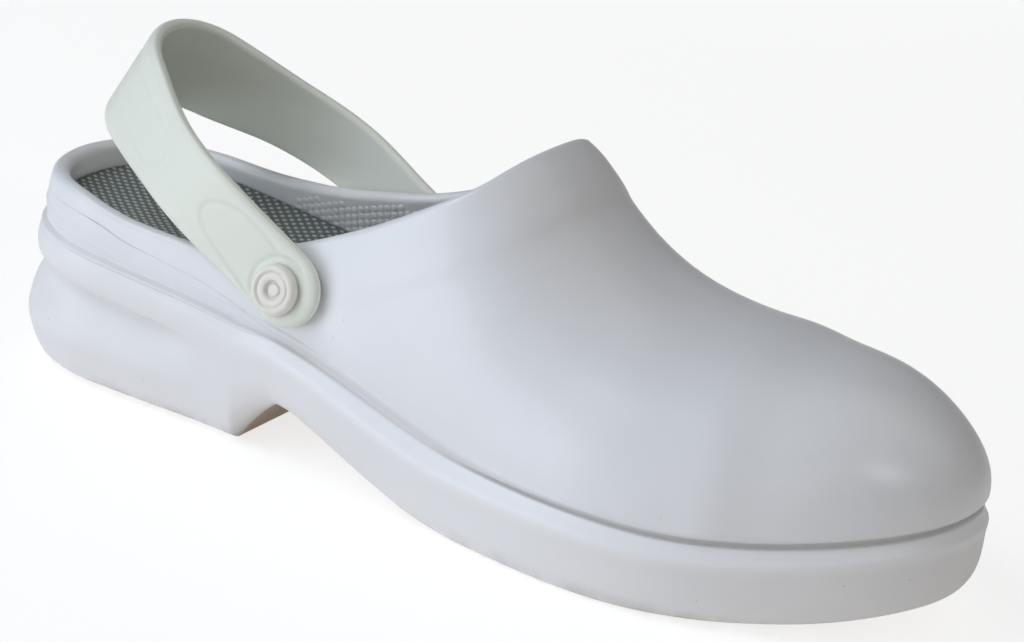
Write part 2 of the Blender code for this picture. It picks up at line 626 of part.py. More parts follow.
def build():
    for item in list(bpy.data.objects):
        bpy.data.objects.remove(item, do_unlink=True)
    clog = bpy.data.collections.new("safety_clog")
    cutters = bpy.data.collections.new("cutters")
    for collection in (clog, cutters):
        bpy.context.scene.collection.children.link(collection)

    shapes = {
        "sole": sole_shape(),
        "upper": upper_shape(),
        "insole": insole_shape(),
        "heel_strap": strap_shape(),
    }
    corners = np.concatenate([vertices for vertices, _ in shapes.values()])
    middle = (corners.min(axis=0) + corners.max(axis=0)) / 2.0
    origin = bpy.data.objects.new("clog_origin", None)
    origin.location = (-middle[0] * MM, -middle[1] * MM, 0.0)
    clog.objects.link(origin)

    finishes = {
        "sole": material("sole_white", (0.80, 0.79, 0.77), 0.5),
        "upper": material("upper_white", (0.80, 0.81, 0.83), 0.45),
        "insole": material("insole_fabric", (0.10, 0.13, 0.12), 0.9),
        "heel_strap": material("strap_sage", (0.72, 0.77, 0.68), 0.5),
    }
    items = {}
    for name, (vertices, faces) in shapes.items():
        items[name] = add_object(name, solid_mesh(name, vertices, faces), finishes[name], clog, origin)
    cut(items["sole"], tread_cutter(cutters, origin))
    for label, side in (("lateral", -1.0), ("medial", 1.0)):
        point, direction = pivot(side)
        bar = stem_cutter("stem_" + label, point, direction, cutters, origin)
        cut(items["upper"], bar)
        cut(items["heel_strap"], bar)
        wall = float(SECTIONS.at("wall", PIVOT_STATION))
        depth = RIVET_CAP_CLEARANCE + STRAP_THICKNESS + STRAP_CLEARANCE + wall + RIVET_HEAD_CLEARANCE
        finish = material("rivet_" + label + "_cream", (0.82, 0.79, 0.73), 0.4)
        turned_object("rivet_" + label, rivet_profile(depth), finish, clog, origin,
                      point + direction * RIVET_CAP_CLEARANCE, direction)


build()
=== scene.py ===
"""The safety clog dressed for its picture: shell, sole, insole, strap and rivets with their finishes.

Shapes are worked out in millimetres: stations run from the heel back to the toe, y to the wearer's
left and z up from the floor. They are placed in the frame, in metres, at the very end.
"""
import math

import bpy
import numpy as np
from mathutils import Matrix, Vector


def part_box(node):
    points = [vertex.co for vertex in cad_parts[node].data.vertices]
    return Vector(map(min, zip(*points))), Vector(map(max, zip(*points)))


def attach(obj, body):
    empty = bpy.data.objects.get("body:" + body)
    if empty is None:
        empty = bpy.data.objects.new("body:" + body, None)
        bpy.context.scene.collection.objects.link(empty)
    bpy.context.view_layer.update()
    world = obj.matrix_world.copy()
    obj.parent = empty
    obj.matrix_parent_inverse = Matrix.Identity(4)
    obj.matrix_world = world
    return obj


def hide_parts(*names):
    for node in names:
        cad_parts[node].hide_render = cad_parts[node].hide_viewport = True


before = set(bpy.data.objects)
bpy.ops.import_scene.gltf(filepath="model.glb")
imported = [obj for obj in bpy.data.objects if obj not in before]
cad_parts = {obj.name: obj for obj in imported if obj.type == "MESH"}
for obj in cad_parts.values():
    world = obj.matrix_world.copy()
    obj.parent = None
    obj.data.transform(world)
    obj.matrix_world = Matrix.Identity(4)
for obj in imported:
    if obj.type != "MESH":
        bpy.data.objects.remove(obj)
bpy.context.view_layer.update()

# Where station 0 and the middle line lie in the frame
MM = 0.001
HEEL_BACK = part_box("upper")[0].x
MIDDLE = (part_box("rivet_lateral")[0].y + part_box("rivet_medial")[1].y) / 2.0

# Camera: fitted to the photograph's frame, angles in degrees, target in stations
CAMERA_AZIMUTH = 25.45
CAMERA_ELEVATION = 19.92
CAMERA_ROLL = 9.08
CAMERA_DISTANCE = 699.3
CAMERA_TARGET = (148.09, 0.0, 46.68)
CAMERA_LENS = 89.69

# Studio: a pale floor to look at, one under it that throws light back, and a pale surround
FLOOR_SIZE = 12.0
FLOOR_SHADE = 0.36
FLOOR_GLOW = 0.74
BOUNCE_DEPTH = 0.0005
BOUNCE_SHADE = 0.86
BOUNCE_GLOW = 0.15
BOUNCE_WARMTH = (1.0, 0.82, 0.65)
SURROUND_LIGHT = 1.0
FLOOR_CLOUD = 0.02
# Soft lamps: azimuth, elevation, size, watts, colour
LAMP_AIM = (0.0, 0.0, 0.045)
LAMP_DISTANCE = 1.5
LAMPS = (
    ("low_left", -38.0, 7.0, 1.2, 11.2, (0.80, 0.88, 1.0)),
    ("high_left", -52.0, 50.0, 0.8, 7.6, (0.86, 0.92, 1.0)),
    ("key", -25.0, 45.0, 1.2, 1.2, (1.0, 0.93, 0.90)),
    ("front", 25.0, 13.0, 1.2, 2.5, (1.0, 0.99, 0.95)),
    ("high_right", 110.0, 62.0, 1.6, 4.1, (1.0, 0.97, 0.94)),
    ("back_right", 140.0, 50.0, 1.2, 1.7, (1.0, 0.98, 0.92)),
    ("toe_gleam", 69.9, 30.5, 0.3, 1.8, (1.0, 1.0, 1.0)),
    ("back_fill", 205.0, 5.0, 1.2, 9.0, (0.94, 0.97, 1.0)),
)
# Lamps that shade the shoe without a gleam of their own
MATT_LAMPS = ("back_fill",)

# The last: length and the rounding of heel and toe
LENGTH = 284.2
HEEL_ROUND = 36.4
HEEL_ROUND_POWER = 2.3
TOE_ROUND = 71.8
TOE_ROUND_POWER = 2.21
TOE_TOP_ROUND = 36.0
TOE_TOP_POWER = 2.3
BACK_LEAN = 0.05
BACK_LEAN_REACH = 50.0
HEEL_HUB = 45.0
TOE_HUB = 222.0

# Mesh layout: columns round the shoe, rays cast on to the last, and how near points are merged
SIDES = (("lateral", -1.0), ("medial", 1.0))
HALF_COLUMNS = 150
BREAST_STATION = 91.0
BREAST_REACH = 11.0
BREAST_DENSITY = 1.8
DENSE_POINTS = 2400
LINE_POINTS = 96
CAST_HALVINGS = 40
NORMAL_PROBE = 0.4
THROAT_AHEAD = 12.0
THROAT_UNDER = 30.0
THROAT_COLUMNS = (130.0, 170.0)
STEEPEST = 5.0
SMALLEST = 0.001
WELD = 0.00001
THROAT_WELD = 0.00012
THROAT_HEIGHT = 84.0
SHARP_ANGLE = 60.0

# Upper: groove, rolled foot, rim, and the low relief of its collar band and toe cap
SEAM_GAP = 0.3
FOOT_HEIGHT = 2.4
FOOT_GROOVE = 1.8
FOOT_ROLL = 2.4
FOOT_TUCK = 0.5
FOOT_LIFT = 0.6
FOOT_CRISP = (150.0, 205.0)
FOOT_ROWS = 12
TIP_CLOSING = 0.8
TIP_REACH = (250.0, 280.0)
WALL_ROWS = 72
WALL_ROW_POWER = 1.15
RIM_ROWS = 12
# Painted light on rim and inner wall eases in from this many rows into the rim to this many short of its
# end
RIM_PAINTED_LIGHT = 2.0
RIM_UP_POINTS = 4
COLLAR_BAND_WIDTH = 19.0
COLLAR_BAND_BLEND = 3.5
COLLAR_BAND_HEIGHT = 0.55
COLLAR_BAND_FADE = (100.0, 132.0)
THROAT_BAND = (143.0, 150.5)
HEEL_VALLEY_HEIGHT = 5.0
# Parting line, painted as the shade of its fine groove: faint share, darkest station and its reach, start
# and end
PARTING_FAINT = 0.28
PARTING_DARK = 38.0
PARTING_REACH = 7.0
PARTING_START = (6.0, 24.0)
PARTING_END = (92.0, 100.0)
TOE_CAP_STATION = 220.0
TOE_CAP_SWEEP = 0.0045
TOE_CAP_HEIGHT = 0.4
TOE_CAP_DIP = 0.8
TOE_CAP_BLEND = 7.0

# Painted shade along the joint and a painted highlight on the ledge under it, falling and rising by steps
# of the sole's side
JOINT_SHADE_HEIGHT = 1.6
JOINT_PAINT_START = (80.0, 110.0)
JOINT_SHADE_FALL = (0.6, 2.4)
PAINTED_SHADE_SHARE = 0.4
PAINTED_SHADE_COLOUR = (0.50, 0.49, 0.46)
# Painted highlight on the ledge: its share at the heel, and the steps of the sole's side where it rises
# and falls
LEDGE_HIGHLIGHT_HEEL = 0.25
LEDGE_HIGHLIGHT_RISE = (1.6, 3.0)
LEDGE_HIGHLIGHT_FALL = (4.4, 6.2)

# Insole, its dotted cloth in metres and radians, and the rows across insole and sole
INSOLE_THICKNESS = 3.0
INSOLE_CLEARANCE = 0.5
DOT_PITCH = 0.0023
DOT_TURN = 0.72
DOT_EDGE = (0.16, 0.40)
SEAT_ROWS = 14
BOTTOM_ROWS = 16
UNDER_BLEND_ROWS = 5

# Heel strap
PIVOT_STATION = 97.4
PIVOT_HEIGHT = 50.4
PIVOT_MIDDLE = np.array([PIVOT_STATION, 0.0, PIVOT_HEIGHT])
STRAP_RISE = 27.2
STRAP_REACH = 87.2
STRAP_BEND_RADIUS = 25.0
STRAP_JOIN_ANGLE = 31.0
STRAP_THICKNESS = 3.8
STRAP_LOBE = 11.6
STRAP_EDGE = 1.6
STRAP_OUTER_ROUND = 2.8
STRAP_INNER_ROUND = 1.6
STRAP_CLEARANCE = 1.6
STRAP_SPLAY = 0.13
STRAP_BOW_LATERAL = 2.4
STRAP_BOW_MEDIAL = 3.8
STRAP_LOBE_COLUMNS = 30
STRAP_SIDE_COLUMNS = 100
STRAP_BEND_COLUMNS = 40
STRAP_ROWS = 48
# Share of the way back over which the painted light on the strap's inner face fades out
STRAP_PAINTED_LIGHT = (0.25, 0.95)

# Embossing on the strap: ring round the rivet, drop behind it, and the panel round the back
EMBOSS_DEPTH = 0.5
EMBOSS_WIDTH = 0.5
EMBOSS_SUNK = 0.16
EMBOSS_INSET = (0.8, 1.6)
RING_RADIUS = 8.7
RING_SHARE = 1.5
RING_SHOWN = (-6.0, 2.0)
DROP_START = 6.0
DROP_LENGTH = 25.8
DROP_HALF = 7.6
DROP_POWER = 2.6
DROP_BOW = 1.8
DROP_BOW_MIDDLE = 20.0
DROP_BOW_REACH = 14.0
DROP_SHOWN = (2.0, 6.0)
DROP_HIDDEN = (36.0, 40.0)
DROP_OFF_RING = (0.2, 1.2)
DROP_SUNK = (0.3, -0.3)
DROP_FLATTEST = 0.02
PANEL_START = 52.0
PANEL_HALF = 6.4
PANEL_SHARE = 0.6
PANEL_SHOWN = (44.0, 46.0)

# Rivets
RIVET_CLEARANCE = 0.75
RIVET_HEIGHT = 2.4
RIVET_STEM = 2.6
RIVET_HEAD = 5.0
RIVET_HEAD_HEIGHT = 1.0
RIVET_HEAD_CLEARANCE = 1.0
RIVET_SEGMENTS = 72
RIVET_CAP_POINTS = 4

# Studs on the inner walls
STUD_START = 57.8
STUD_PITCH = 2.2
STUD_COLUMNS = 36
STUD_RISE = 2.3
STUD_RADIUS = 1.1
STUD_HEIGHT = 0.26
STUD_MARGIN_LOW = 1.4
STUD_MARGIN_HIGH = 3.4
STUD_SEGMENTS = 10
STUD_RINGS = 6
STUD_FOOT = -0.05

# Tread channels under the heel and the forefoot: width, depth, margin at their ends, stations
TREADS = (
    (5.0, 2.0, 11.0, (22.0, 38.0, 60.0, 74.0, 166.0, 197.0, 212.0, 227.0, 242.0, 256.0)),
    (1.8, 1.5, 2.5, (12.0, 17.0, 27.0, 32.0, 44.0, 49.0, 54.0, 66.0, 80.0, 173.0, 179.0, 185.0, 191.0,
                     204.5, 219.5, 234.5, 249.0, 262.0)),
)
TREAD_BEVEL = 0.24
TREAD_BEVEL_SEGMENTS = 3
TREAD_SHARP_ANGLE = 50.0


def smooth(knots, values, x):
    """Natural cubic spline through a few knots."""
    knots = np.asarray(knots, float)
    values = np.asarray(values, float)
    step = np.diff(knots)
    slope = np.diff(values, axis=0)
    slope = slope / step if values.ndim == 1 else slope / step[:, None]
    count = len(knots)
    matrix = np.eye(count)
    right = np.zeros_like(values)
    for i in range(1, count - 1):
        matrix[i, i - 1:i + 2] = step[i - 1], 2.0 * (step[i - 1] + step[i]), step[i]
        right[i] = 6.0 * (slope[i] - slope[i - 1])
    bend = np.linalg.solve(matrix, right)
    x = np.clip(x, knots[0], knots[-1])
    i = np.clip(np.searchsorted(knots, x, side="right") - 1, 0, count - 2)
    before = x - knots[i]
    after = knots[i + 1] - x
    width = step[i]
    if values.ndim > 1:
        before, after, width = before[:, None], after[:, None], width[:, None]
    cubic = (bend[i] * after ** 3 + bend[i + 1] * before ** 3) / (6.0 * width)
    left = (values[i] / width - bend[i] * width / 6.0) * after
    return cubic + left + (values[i + 1] / width - bend[i + 1] * width / 6.0) * before


def steady(knots, values, x):
    """Cubic curve through a few knots that never overshoots them."""
    knots = np.asarray(knots, float)
    values = np.asarray(values, float)
    step = np.diff(knots)
    slope = np.diff(values) / step
    turn = slope[:-1] * slope[1:]
    total = np.where(turn > 0, slope[:-1] + slope[1:], 1.0)
    inner = np.where(turn > 0, 2.0 * turn / total, 0.0)
    tangent = np.concatenate([[slope[0]], inner, [slope[-1]]])
    x = np.clip(x, knots[0], knots[-1])
    i = np.clip(np.searchsorted(knots, x, side="right") - 1, 0, len(step) - 1)
    t = (x - knots[i]) / step[i]
    curve = (1.0 + 2.0 * t) * (1.0 - t) ** 2 * values[i] + t * (1.0 - t) ** 2 * step[i] * tangent[i]
    curve = curve + t ** 2 * (3.0 - 2.0 * t) * values[i + 1]
    return curve + t ** 2 * (t - 1.0) * step[i] * tangent[i + 1]


class Table:
    """A short table with named columns, read along its first column."""

    def __init__(self, curve, columns, rows):
        self.curve = curve
        self.values = dict(zip(columns, np.array(rows, float).T))
        self.knots = self.values[columns[0]]

    def at(self, column, x):
        return self.curve(self.knots, self.values[column], np.asarray(x, float))


# Sections of the last from heel to toe
SECTION_COLUMNS = ("station", "centre", "half_width", "seam", "ridge", "square", "lean", "wall", "tilt")
SECTIONS = Table(smooth, SECTION_COLUMNS, (
    (0.0, 0.0, 38.6, 48.5, 145.0, 2.4, 0.24, 5.0, 0.0),
    (50.0, 0.0, 38.7, 41.0, 145.0, 2.4, 0.26, 5.0, 0.0),
    (100.0, 0.0, 39.7, 36.0, 138.0, 2.4, 0.25, 4.2, 1.0),
    (130.0, 0.0, 43.3, 29.8, 118.3, 2.4, 0.09, 4.0, 4.0),
    (156.0, 0.0, 47.0, 24.6, 93.4, 2.4, 0.0, 3.6, 6.0),
    (172.0, 0.0, 49.3, 23.2, 79.0, 2.35, 0.0, 3.6, 6.0),
    (198.0, 0.3, 51.6, 22.6, 67.6, 2.3, 0.0, 3.8, 5.0),
    (230.0, 3.4, 49.0, 23.2, 65.1, 2.3, 0.0, 4.0, 3.0),
    (258.0, 7.0, 44.5, 27.7, 62.0, 2.3, 0.0, 4.2, 1.0),
    (285.0, 10.2, 42.0, 35.0, 55.6, 2.3, 0.0, 4.2, 0.0),
))
# Height of the topline in side view, from the heel back to the throat
TOPLINE = Table(steady, ("station", "lateral", "medial"), (
    (0.0, 58.3, 58.3), (20.0, 57.6, 56.4), (45.0, 53.8, 55.6), (65.0, 52.9, 57.0),
    (86.0, 57.8, 60.9), (112.0, 69.5, 68.2), (134.0, 82.5, 82.5), (144.6, 90.0, 90.0),
    (151.6, 97.8, 97.8),
))
# Station of the topline that each station of the seam runs up to
TOPLINE_MATCH = Table(steady, ("seam", "topline"), (
    (0.0, 0.0), (45.0, 45.0), (110.0, 105.0), (170.0, 134.0), (240.0, 148.5), (LENGTH, 151.6),
))
# How far the padded collar stands out at the throat, by the way down from its rim
THROAT_COLLAR = Table(steady, ("down", "out"), (
    (0.0, -0.4), (4.0, 0.6), (9.0, 1.1), (15.0, 1.05), (18.0, 0.8), (21.0, 0.25), (24.0, 0.15),
    (35.0, 0.1), (50.0, 0.0),
))
# Depth of the soft valley over the joint at heel and waist
HEEL_VALLEY = Table(steady, ("station", "depth"), (
    (0.0, 1.0), (12.0, 1.0), (40.0, 1.0), (90.0, 0.9), (120.0, 1.2), (145.0, 1.3), (175.0, 0.6),
    (LENGTH, 0.0),
))
# How far the visible joint of upper and sole lies under the seam line
JOINT_DROP = Table(steady, ("station", "drop"), (
    (0.0, 4.0), (20.0, 2.2), (50.0, 0.8), (85.0, 0.3), (120.0, 0.0), (230.0, 0.0), (258.0, 0.7),
    (285.0, 1.7),
))
# Parting line of the heel band in side view
PARTING = Table(steady, ("station", "height"), (
    (0.0, 52.4), (18.0, 51.8), (28.0, 51.2), (36.6, 49.7), (42.5, 47.9), (56.5, 45.7),
    (70.4, 43.7), (86.5, 39.7), (97.0, 36.6),
))
# Underside in side view: flat heel, breast and shank, flat forefoot, toe spring
UNDERSIDE = Table(steady, ("station", "height"), (
    (0.0, 0.0), (84.3, 0.0), (87.0, 4.3), (90.5, 8.8), (94.5, 12.9), (99.0, 15.9),
    (104.0, 15.6), (110.0, 13.8), (122.0, 9.5), (137.0, 4.6), (151.0, 1.2), (165.0, 0.0),
    (205.0, 0.0), (230.0, 0.9), (255.0, 3.6), (285.0, 10.4),
))
# Edge of the insole's face, and how far it dips in the middle
FOOTBED = Table(steady, ("station", "edge", "cup"), (
    (0.0, 50.8, 3.5), (35.0, 49.0, 3.5), (73.0, 45.0, 3.0), (110.0, 38.0, 1.6),
    (150.0, 28.4, 1.0), (190.0, 23.0, 1.0), (230.0, 24.0, 1.0), (285.0, 35.0, 0.6),
))
# Steps of the sole's side from the joint down: how far each follows the joint's drop, its share of the
# height at heel and forefoot, then how far it stands out of the seam line at the stations of the columns
SIDE_STATIONS = (0.0, 20.0, 58.0, 73.0, 86.0, 106.0, 140.0, 190.0, 225.0, 285.0)
SIDE_STEPS = (
    ("joint", 1.0, 0.0, 0.0, -1.2, -1.2, -1.1, -1.1, -1.1, -1.2, -1.5, -2.1, -2.1, -2.1),
    ("seam", 1.0, 0.012, 0.05, -0.9, -0.9, -0.9, -0.8, -0.8, -0.9, -1.0, -2.1, -2.1, -2.1),
    ("bead", 1.0, 0.034, 0.068, 0.2, 0.5, 0.8, 0.9, 0.9, 0.2, -0.5, -0.9, -0.9, -0.9),
    ("bead_foot", 0.95, 0.055, 0.103, 0.0, 0.1, 0.2, 0.4, 0.7, 0.9, 0.3, -0.3, -0.3, -0.3),
    ("welt", 0.8, 0.095, 0.17, 0.5, 0.7, 1.0, 1.2, 1.6, 1.9, 1.5, 0.6, 0.6, 0.6),
    ("roll", 0.35, 0.19, 0.26, 0.9, 1.0, 1.1, 1.3, 1.9, 2.6, 2.5, 1.3, 1.3, 1.3),
    ("roll_foot", 0.0, 0.29, 0.39, -0.1, 0.1, 0.3, 0.9, 1.4, 2.3, 2.2, 0.8, 0.9, 1.2),
    ("channel", 0.0, 0.355, 0.52, -2.5, -2.9, -2.8, 0.5, 1.0, 1.7, 1.5, 0.4, 0.6, 1.3),
    ("scoop", 0.0, 0.47, 0.66, 0.6, -1.7, -2.0, 0.0, 0.5, 1.2, 0.9, 0.1, 0.4, 1.3),
    ("shoulder", 0.0, 0.62, 0.76, 2.4, 0.3, -0.4, -0.6, -0.4, 0.6, 0.3, -0.2, 0.1, 1.1),
    ("bulge", 0.0, 0.74, 0.85, 2.4, 0.0, -0.7, -1.2, -1.4, -0.2, -0.4, -0.6, -0.4, 0.6),
    ("foot", 0.0, 0.90, 0.94, -0.5, -3.0, -3.2, -3.4, -3.6, -1.4, -1.5, -1.5, -1.4, -0.4),
    ("tread", 0.0, 0.97, 0.985, -3.4, -6.0, -5.8, -6.0, -6.0, -2.6, -2.7, -2.8, -2.8, -1.8),
    ("bottom", 0.0, 1.0, 1.0, -6.8, -8.8, -8.4, -8.6, -8.6, -4.4, -4.7, -4.8, -4.8, -3.8),
)
SIDE_BLEND = (62.0, 104.0)
SIDE_ROWS = 85
SIDE_PLACES = np.linspace(0.0, len(SIDE_STEPS) - 1.0, SIDE_ROWS)
# Strap's edges under and over its middle line, and its lean, by the share of the way from pivot to back
STRAP_EDGES = Table(steady, ("share", "under", "over"), (
    (0.0, 9.2, 11.8), (0.12, 9.4, 11.9), (0.3, 10.1, 12.1), (0.6, 12.0, 11.6), (0.85, 15.5, 13.3),
    (1.0, 16.6, 14.2),
))
STRAP_LEAN = Table(steady, ("share", "angle"), ((0.0, 9.0), (0.4, 2.0), (1.0, 1.0)))
# Rivet's half section from the middle of its cap out and down: radius, share of the cap's height
RIVET_CAP = (
    (0.0, 0.58), (1.1, 0.58), (1.6, 0.53), (1.75, 0.32), (2.1, 0.28), (2.45, 0.36), (2.65, 0.70),
    (3.0, 0.84), (3.6, 0.90), (4.3, 0.86), (4.6, 0.76), (4.85, 0.74), (5.1, 0.86), (5.5, 1.0),
    (6.0, 0.98), (6.5, 0.86), (6.88, 0.58), (7.0, 0.28), (7.0, 0.0),
)


def unit(vector):
    return vector / np.linalg.norm(vector, axis=-1, keepdims=True)


def ease(start, end, x):
    """Rises smoothly from 0 at start to 1 at end."""
    t = np.clip((x - start) / (end - start), 0.0, 1.0)
    return t * t * (3.0 - 2.0 * t)


def bell(offset, reach):
    """1 at no offset, falling to nothing a few times the reach away."""
    return np.exp(-(offset / reach) ** 2)


def oval(share, power):
    """Height of a squared oval at a share of its half width."""
    return (1.0 - share ** power) ** (1.0 / power)


def placed(points):
    """Points in stations, in millimetres, moved into the frame in metres."""
    return np.asarray(points) * MM + (HEEL_BACK, MIDDLE, 0.0)


def end_rounding(station):
    """Share of the full width that the round heel and toe leave at a station."""
    heel = np.clip(1.0 - station / HEEL_ROUND, 0.0, 1.0)
    toe = np.clip((station - LENGTH + TOE_ROUND) / TOE_ROUND, 0.0, 1.0)
    return oval(heel, HEEL_ROUND_POWER) * oval(toe, TOE_ROUND_POWER)


def seam_half_width(station):
    return SECTIONS.at("half_width", station) * end_rounding(station)


def crest(station):
    """How far to the side the top of the last lies."""
    return SECTIONS.at("centre", station) + SECTIONS.at("tilt", station)


def last_value(point):
    """Negative inside the last, positive outside it."""
    station, y, z = point[..., 0], point[..., 1], point[..., 2]
    outside = (station < 0.0) | (station > LENGTH)
    station = np.clip(station, 0.0, LENGTH)
    seam = SECTIONS.at("seam", station)
    height = np.maximum(z - seam, 0.0)
    toe = np.clip((station - LENGTH + TOE_TOP_ROUND) / TOE_TOP_ROUND, 0.0, 1.0)
    top = (SECTIONS.at("ridge", station) - seam) * oval(toe, TOE_TOP_POWER)
    rise = height / np.maximum(top, SMALLEST)
    back = BACK_LEAN * height * np.clip(1.0 - station / BACK_LEAN_REACH, 0.0, 1.0)
    half = SECTIONS.at("half_width", station) * end_rounding(np.maximum(station - back, 0.0))
    half = np.maximum(half - SECTIONS.at("lean", station) * height, SMALLEST)
    middle = SECTIONS.at("centre", station) + SECTIONS.at("tilt", station) * np.minimum(rise, 1.0)
    power = SECTIONS.at("square", station)
    value = (np.abs(y - middle) / half) ** power + rise ** power - 1.0
    return np.where(outside, 1.0, value)


def last_normal(point):
    """Outward direction of the last's surface, by central differences."""
    probes = NORMAL_PROBE * np.eye(3)
    slope = np.stack([last_value(point + probe) - last_value(point - probe) for probe in probes], -1)
    return unit(np.clip(slope, -STEEPEST, STEEPEST))


def cast(origin, direction):
    """Point where each ray from inside the last leaves it, by halving."""
    near = np.zeros(direction.shape[:-1])
    far = np.full(direction.shape[:-1], LENGTH)
    for _ in range(CAST_HALVINGS):
        middle = (near + far) / 2.0
        inside = last_value(origin + middle[..., None] * direction) < 0.0
        near = np.where(inside, middle, near)
        far = np.where(inside, far, middle)
    return origin + near[..., None] * direction


def column_stations():
    """Stations of the columns, even along the outline and closer together at the heel breast."""
    dense = LENGTH * (1.0 - np.cos(np.linspace(0.0, math.pi, DENSE_POINTS))) / 2.0
    step = np.hypot(np.diff(dense), np.diff(seam_half_width(dense)))
    near = bell((dense[1:] + dense[:-1]) / 2.0 - BREAST_STATION, BREAST_REACH)
    length = np.concatenate([[0.0], np.cumsum(step * (1.0 + BREAST_DENSITY * near))])
    return np.interp(np.linspace(0.0, length[-1], HALF_COLUMNS + 1), length, dense)


STATIONS = column_stations()
LOOP = np.concatenate([STATIONS, STATIONS[-2:0:-1]])
SIDE = np.concatenate([-np.ones(len(STATIONS)), np.ones(len(STATIONS) - 2)])


def seam_loop():
    """The seam line between upper and sole, as a ring of points with plan normals."""
    y = SECTIONS.at("centre", LOOP) + SIDE * seam_half_width(LOOP)
    ring = np.stack([LOOP, y, SECTIONS.at("seam", LOOP)], -1)
    along = np.roll(ring, -1, axis=0) - np.roll(ring, 1, axis=0)
    normal = np.stack([along[:, 1], -along[:, 0], 0.0 * along[:, 0]], -1)
    return ring, unit(normal)


SEAM, SEAM_NORMAL = seam_loop()
JOINT = SEAM[:, 2] - JOINT_DROP.at("drop", LOOP)


def seam_offset(out, height):
    """The seam ring moved outwards in plan, at the given heights."""
    ring = SEAM + np.broadcast_to(out, LOOP.shape)[:, None] * SEAM_NORMAL
    ring[:, 2] = height
    return ring


def select(*pieces):
    """Selects these pieces alone, with the first one active."""
    bpy.ops.object.select_all(action="DESELECT")
    for piece in pieces:
        piece.select_set(True)
    bpy.context.view_layer.objects.active = pieces[0]


def closed(rows, wrap_rows):
    """Rows with their first column again at the end and, where they wrap, their first row."""
    rows = np.concatenate([rows, rows[:, :1]], axis=1)
    return np.concatenate([rows, rows[:1]]) if wrap_rows else rows


def spread_rows(shares):
    """One value for each row, the same in all columns round the shoe."""
    return np.tile(shares[:, None], (1, len(LOOP)))


def new_piece(name, rows, finish, wrap_rows=False):
    """A grid whose vertices are laid on rows of points that run round the piece, with its ends joined."""
    rows = closed(rows, wrap_rows)
    count, across = rows.shape[:2]
    bpy.ops.object.select_all(action="DESELECT")
    bpy.ops.mesh.primitive_grid_add(x_subdivisions=across - 1, y_subdivisions=count - 1, size=2.0)
    piece = bpy.context.object
    piece.name = name
    piece.data.name = name
    flat = np.zeros(len(piece.data.vertices) * 3)
    piece.data.vertices.foreach_get("co", flat)
    flat = flat.reshape(-1, 3).round(5)
    order = np.lexsort((flat[:, 0], flat[:, 1]))
    flat[order] = placed(rows.reshape(-1, 3))
    piece.data.vertices.foreach_set("co", flat.ravel())
    piece.data.update()
    piece.data.materials.append(finish)
    return piece


def join_ends(piece):
    """Merges the points that meet and turns all faces outwards."""
    select(piece)
    bpy.ops.object.mode_set(mode="EDIT")
    bpy.ops.mesh.select_all(action="SELECT")
    bpy.ops.mesh.remove_doubles(threshold=WELD)
    bpy.ops.mesh.normals_make_consistent(inside=False)
    bpy.ops.object.mode_set(mode="OBJECT")
    bpy.ops.object.shade_smooth()
    return piece


def store(piece, name, rows, wrap_rows=False):
    """Keeps one value for each point of the piece's rows as an attribute for its finish."""
    attribute = piece.data.attributes.new(name, "FLOAT", "POINT")
    attribute.data.foreach_set("value", closed(rows, wrap_rows).ravel())


def apply_modifier(piece, kind, **settings):
    """Adds a modifier to a piece and applies it."""
    select(piece)
    modifier = piece.modifiers.new(kind.lower(), kind)
    for key, value in settings.items():
        setattr(modifier, key, value)
    bpy.ops.object.modifier_apply(modifier=modifier.name)


def stand_for(piece, slot, *nodes):
    """Lets a piece ride on the shoe and stand for CAD nodes, which it hides; the slot is not used."""
    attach(piece, "root")
    if nodes:
        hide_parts(*nodes)


class Value:
    """A shader socket that takes Python's operators."""

    def __init__(self, paint, socket):
        self.paint = paint
        self.socket = socket

    def math(self, operation, first, second):
        return self.paint.node("ShaderNodeMath", {"operation": operation}, {0: first, 1: second})

    def __add__(self, other):
        return self.math("ADD", self, other)

    def __sub__(self, other):
        return self.math("SUBTRACT", self, other)

    def __rsub__(self, other):
        return self.math("SUBTRACT", other, self)

    def __mul__(self, other):
        return self.math("MULTIPLY", self, other)

    def __truediv__(self, other):
        return self.math("DIVIDE", self, other)

    def __pow__(self, other):
        return self.math("POWER", self, other)

    def __abs__(self):
        return self.math("ABSOLUTE", self, 0.0)

    def fraction(self):
        return self.math("FRACT", self, 0.0)

    __radd__ = __add__
    __rmul__ = __mul__

    def within(self, inner, outer):
        """1 below inner, 0 above outer, smooth between."""
        return self.paint.node("ShaderNodeMapRange", {"interpolation_type": "SMOOTHSTEP"}, {
            "Value": self, "From Min": inner, "From Max": outer, "To Min": 1.0, "To Max": 0.0})


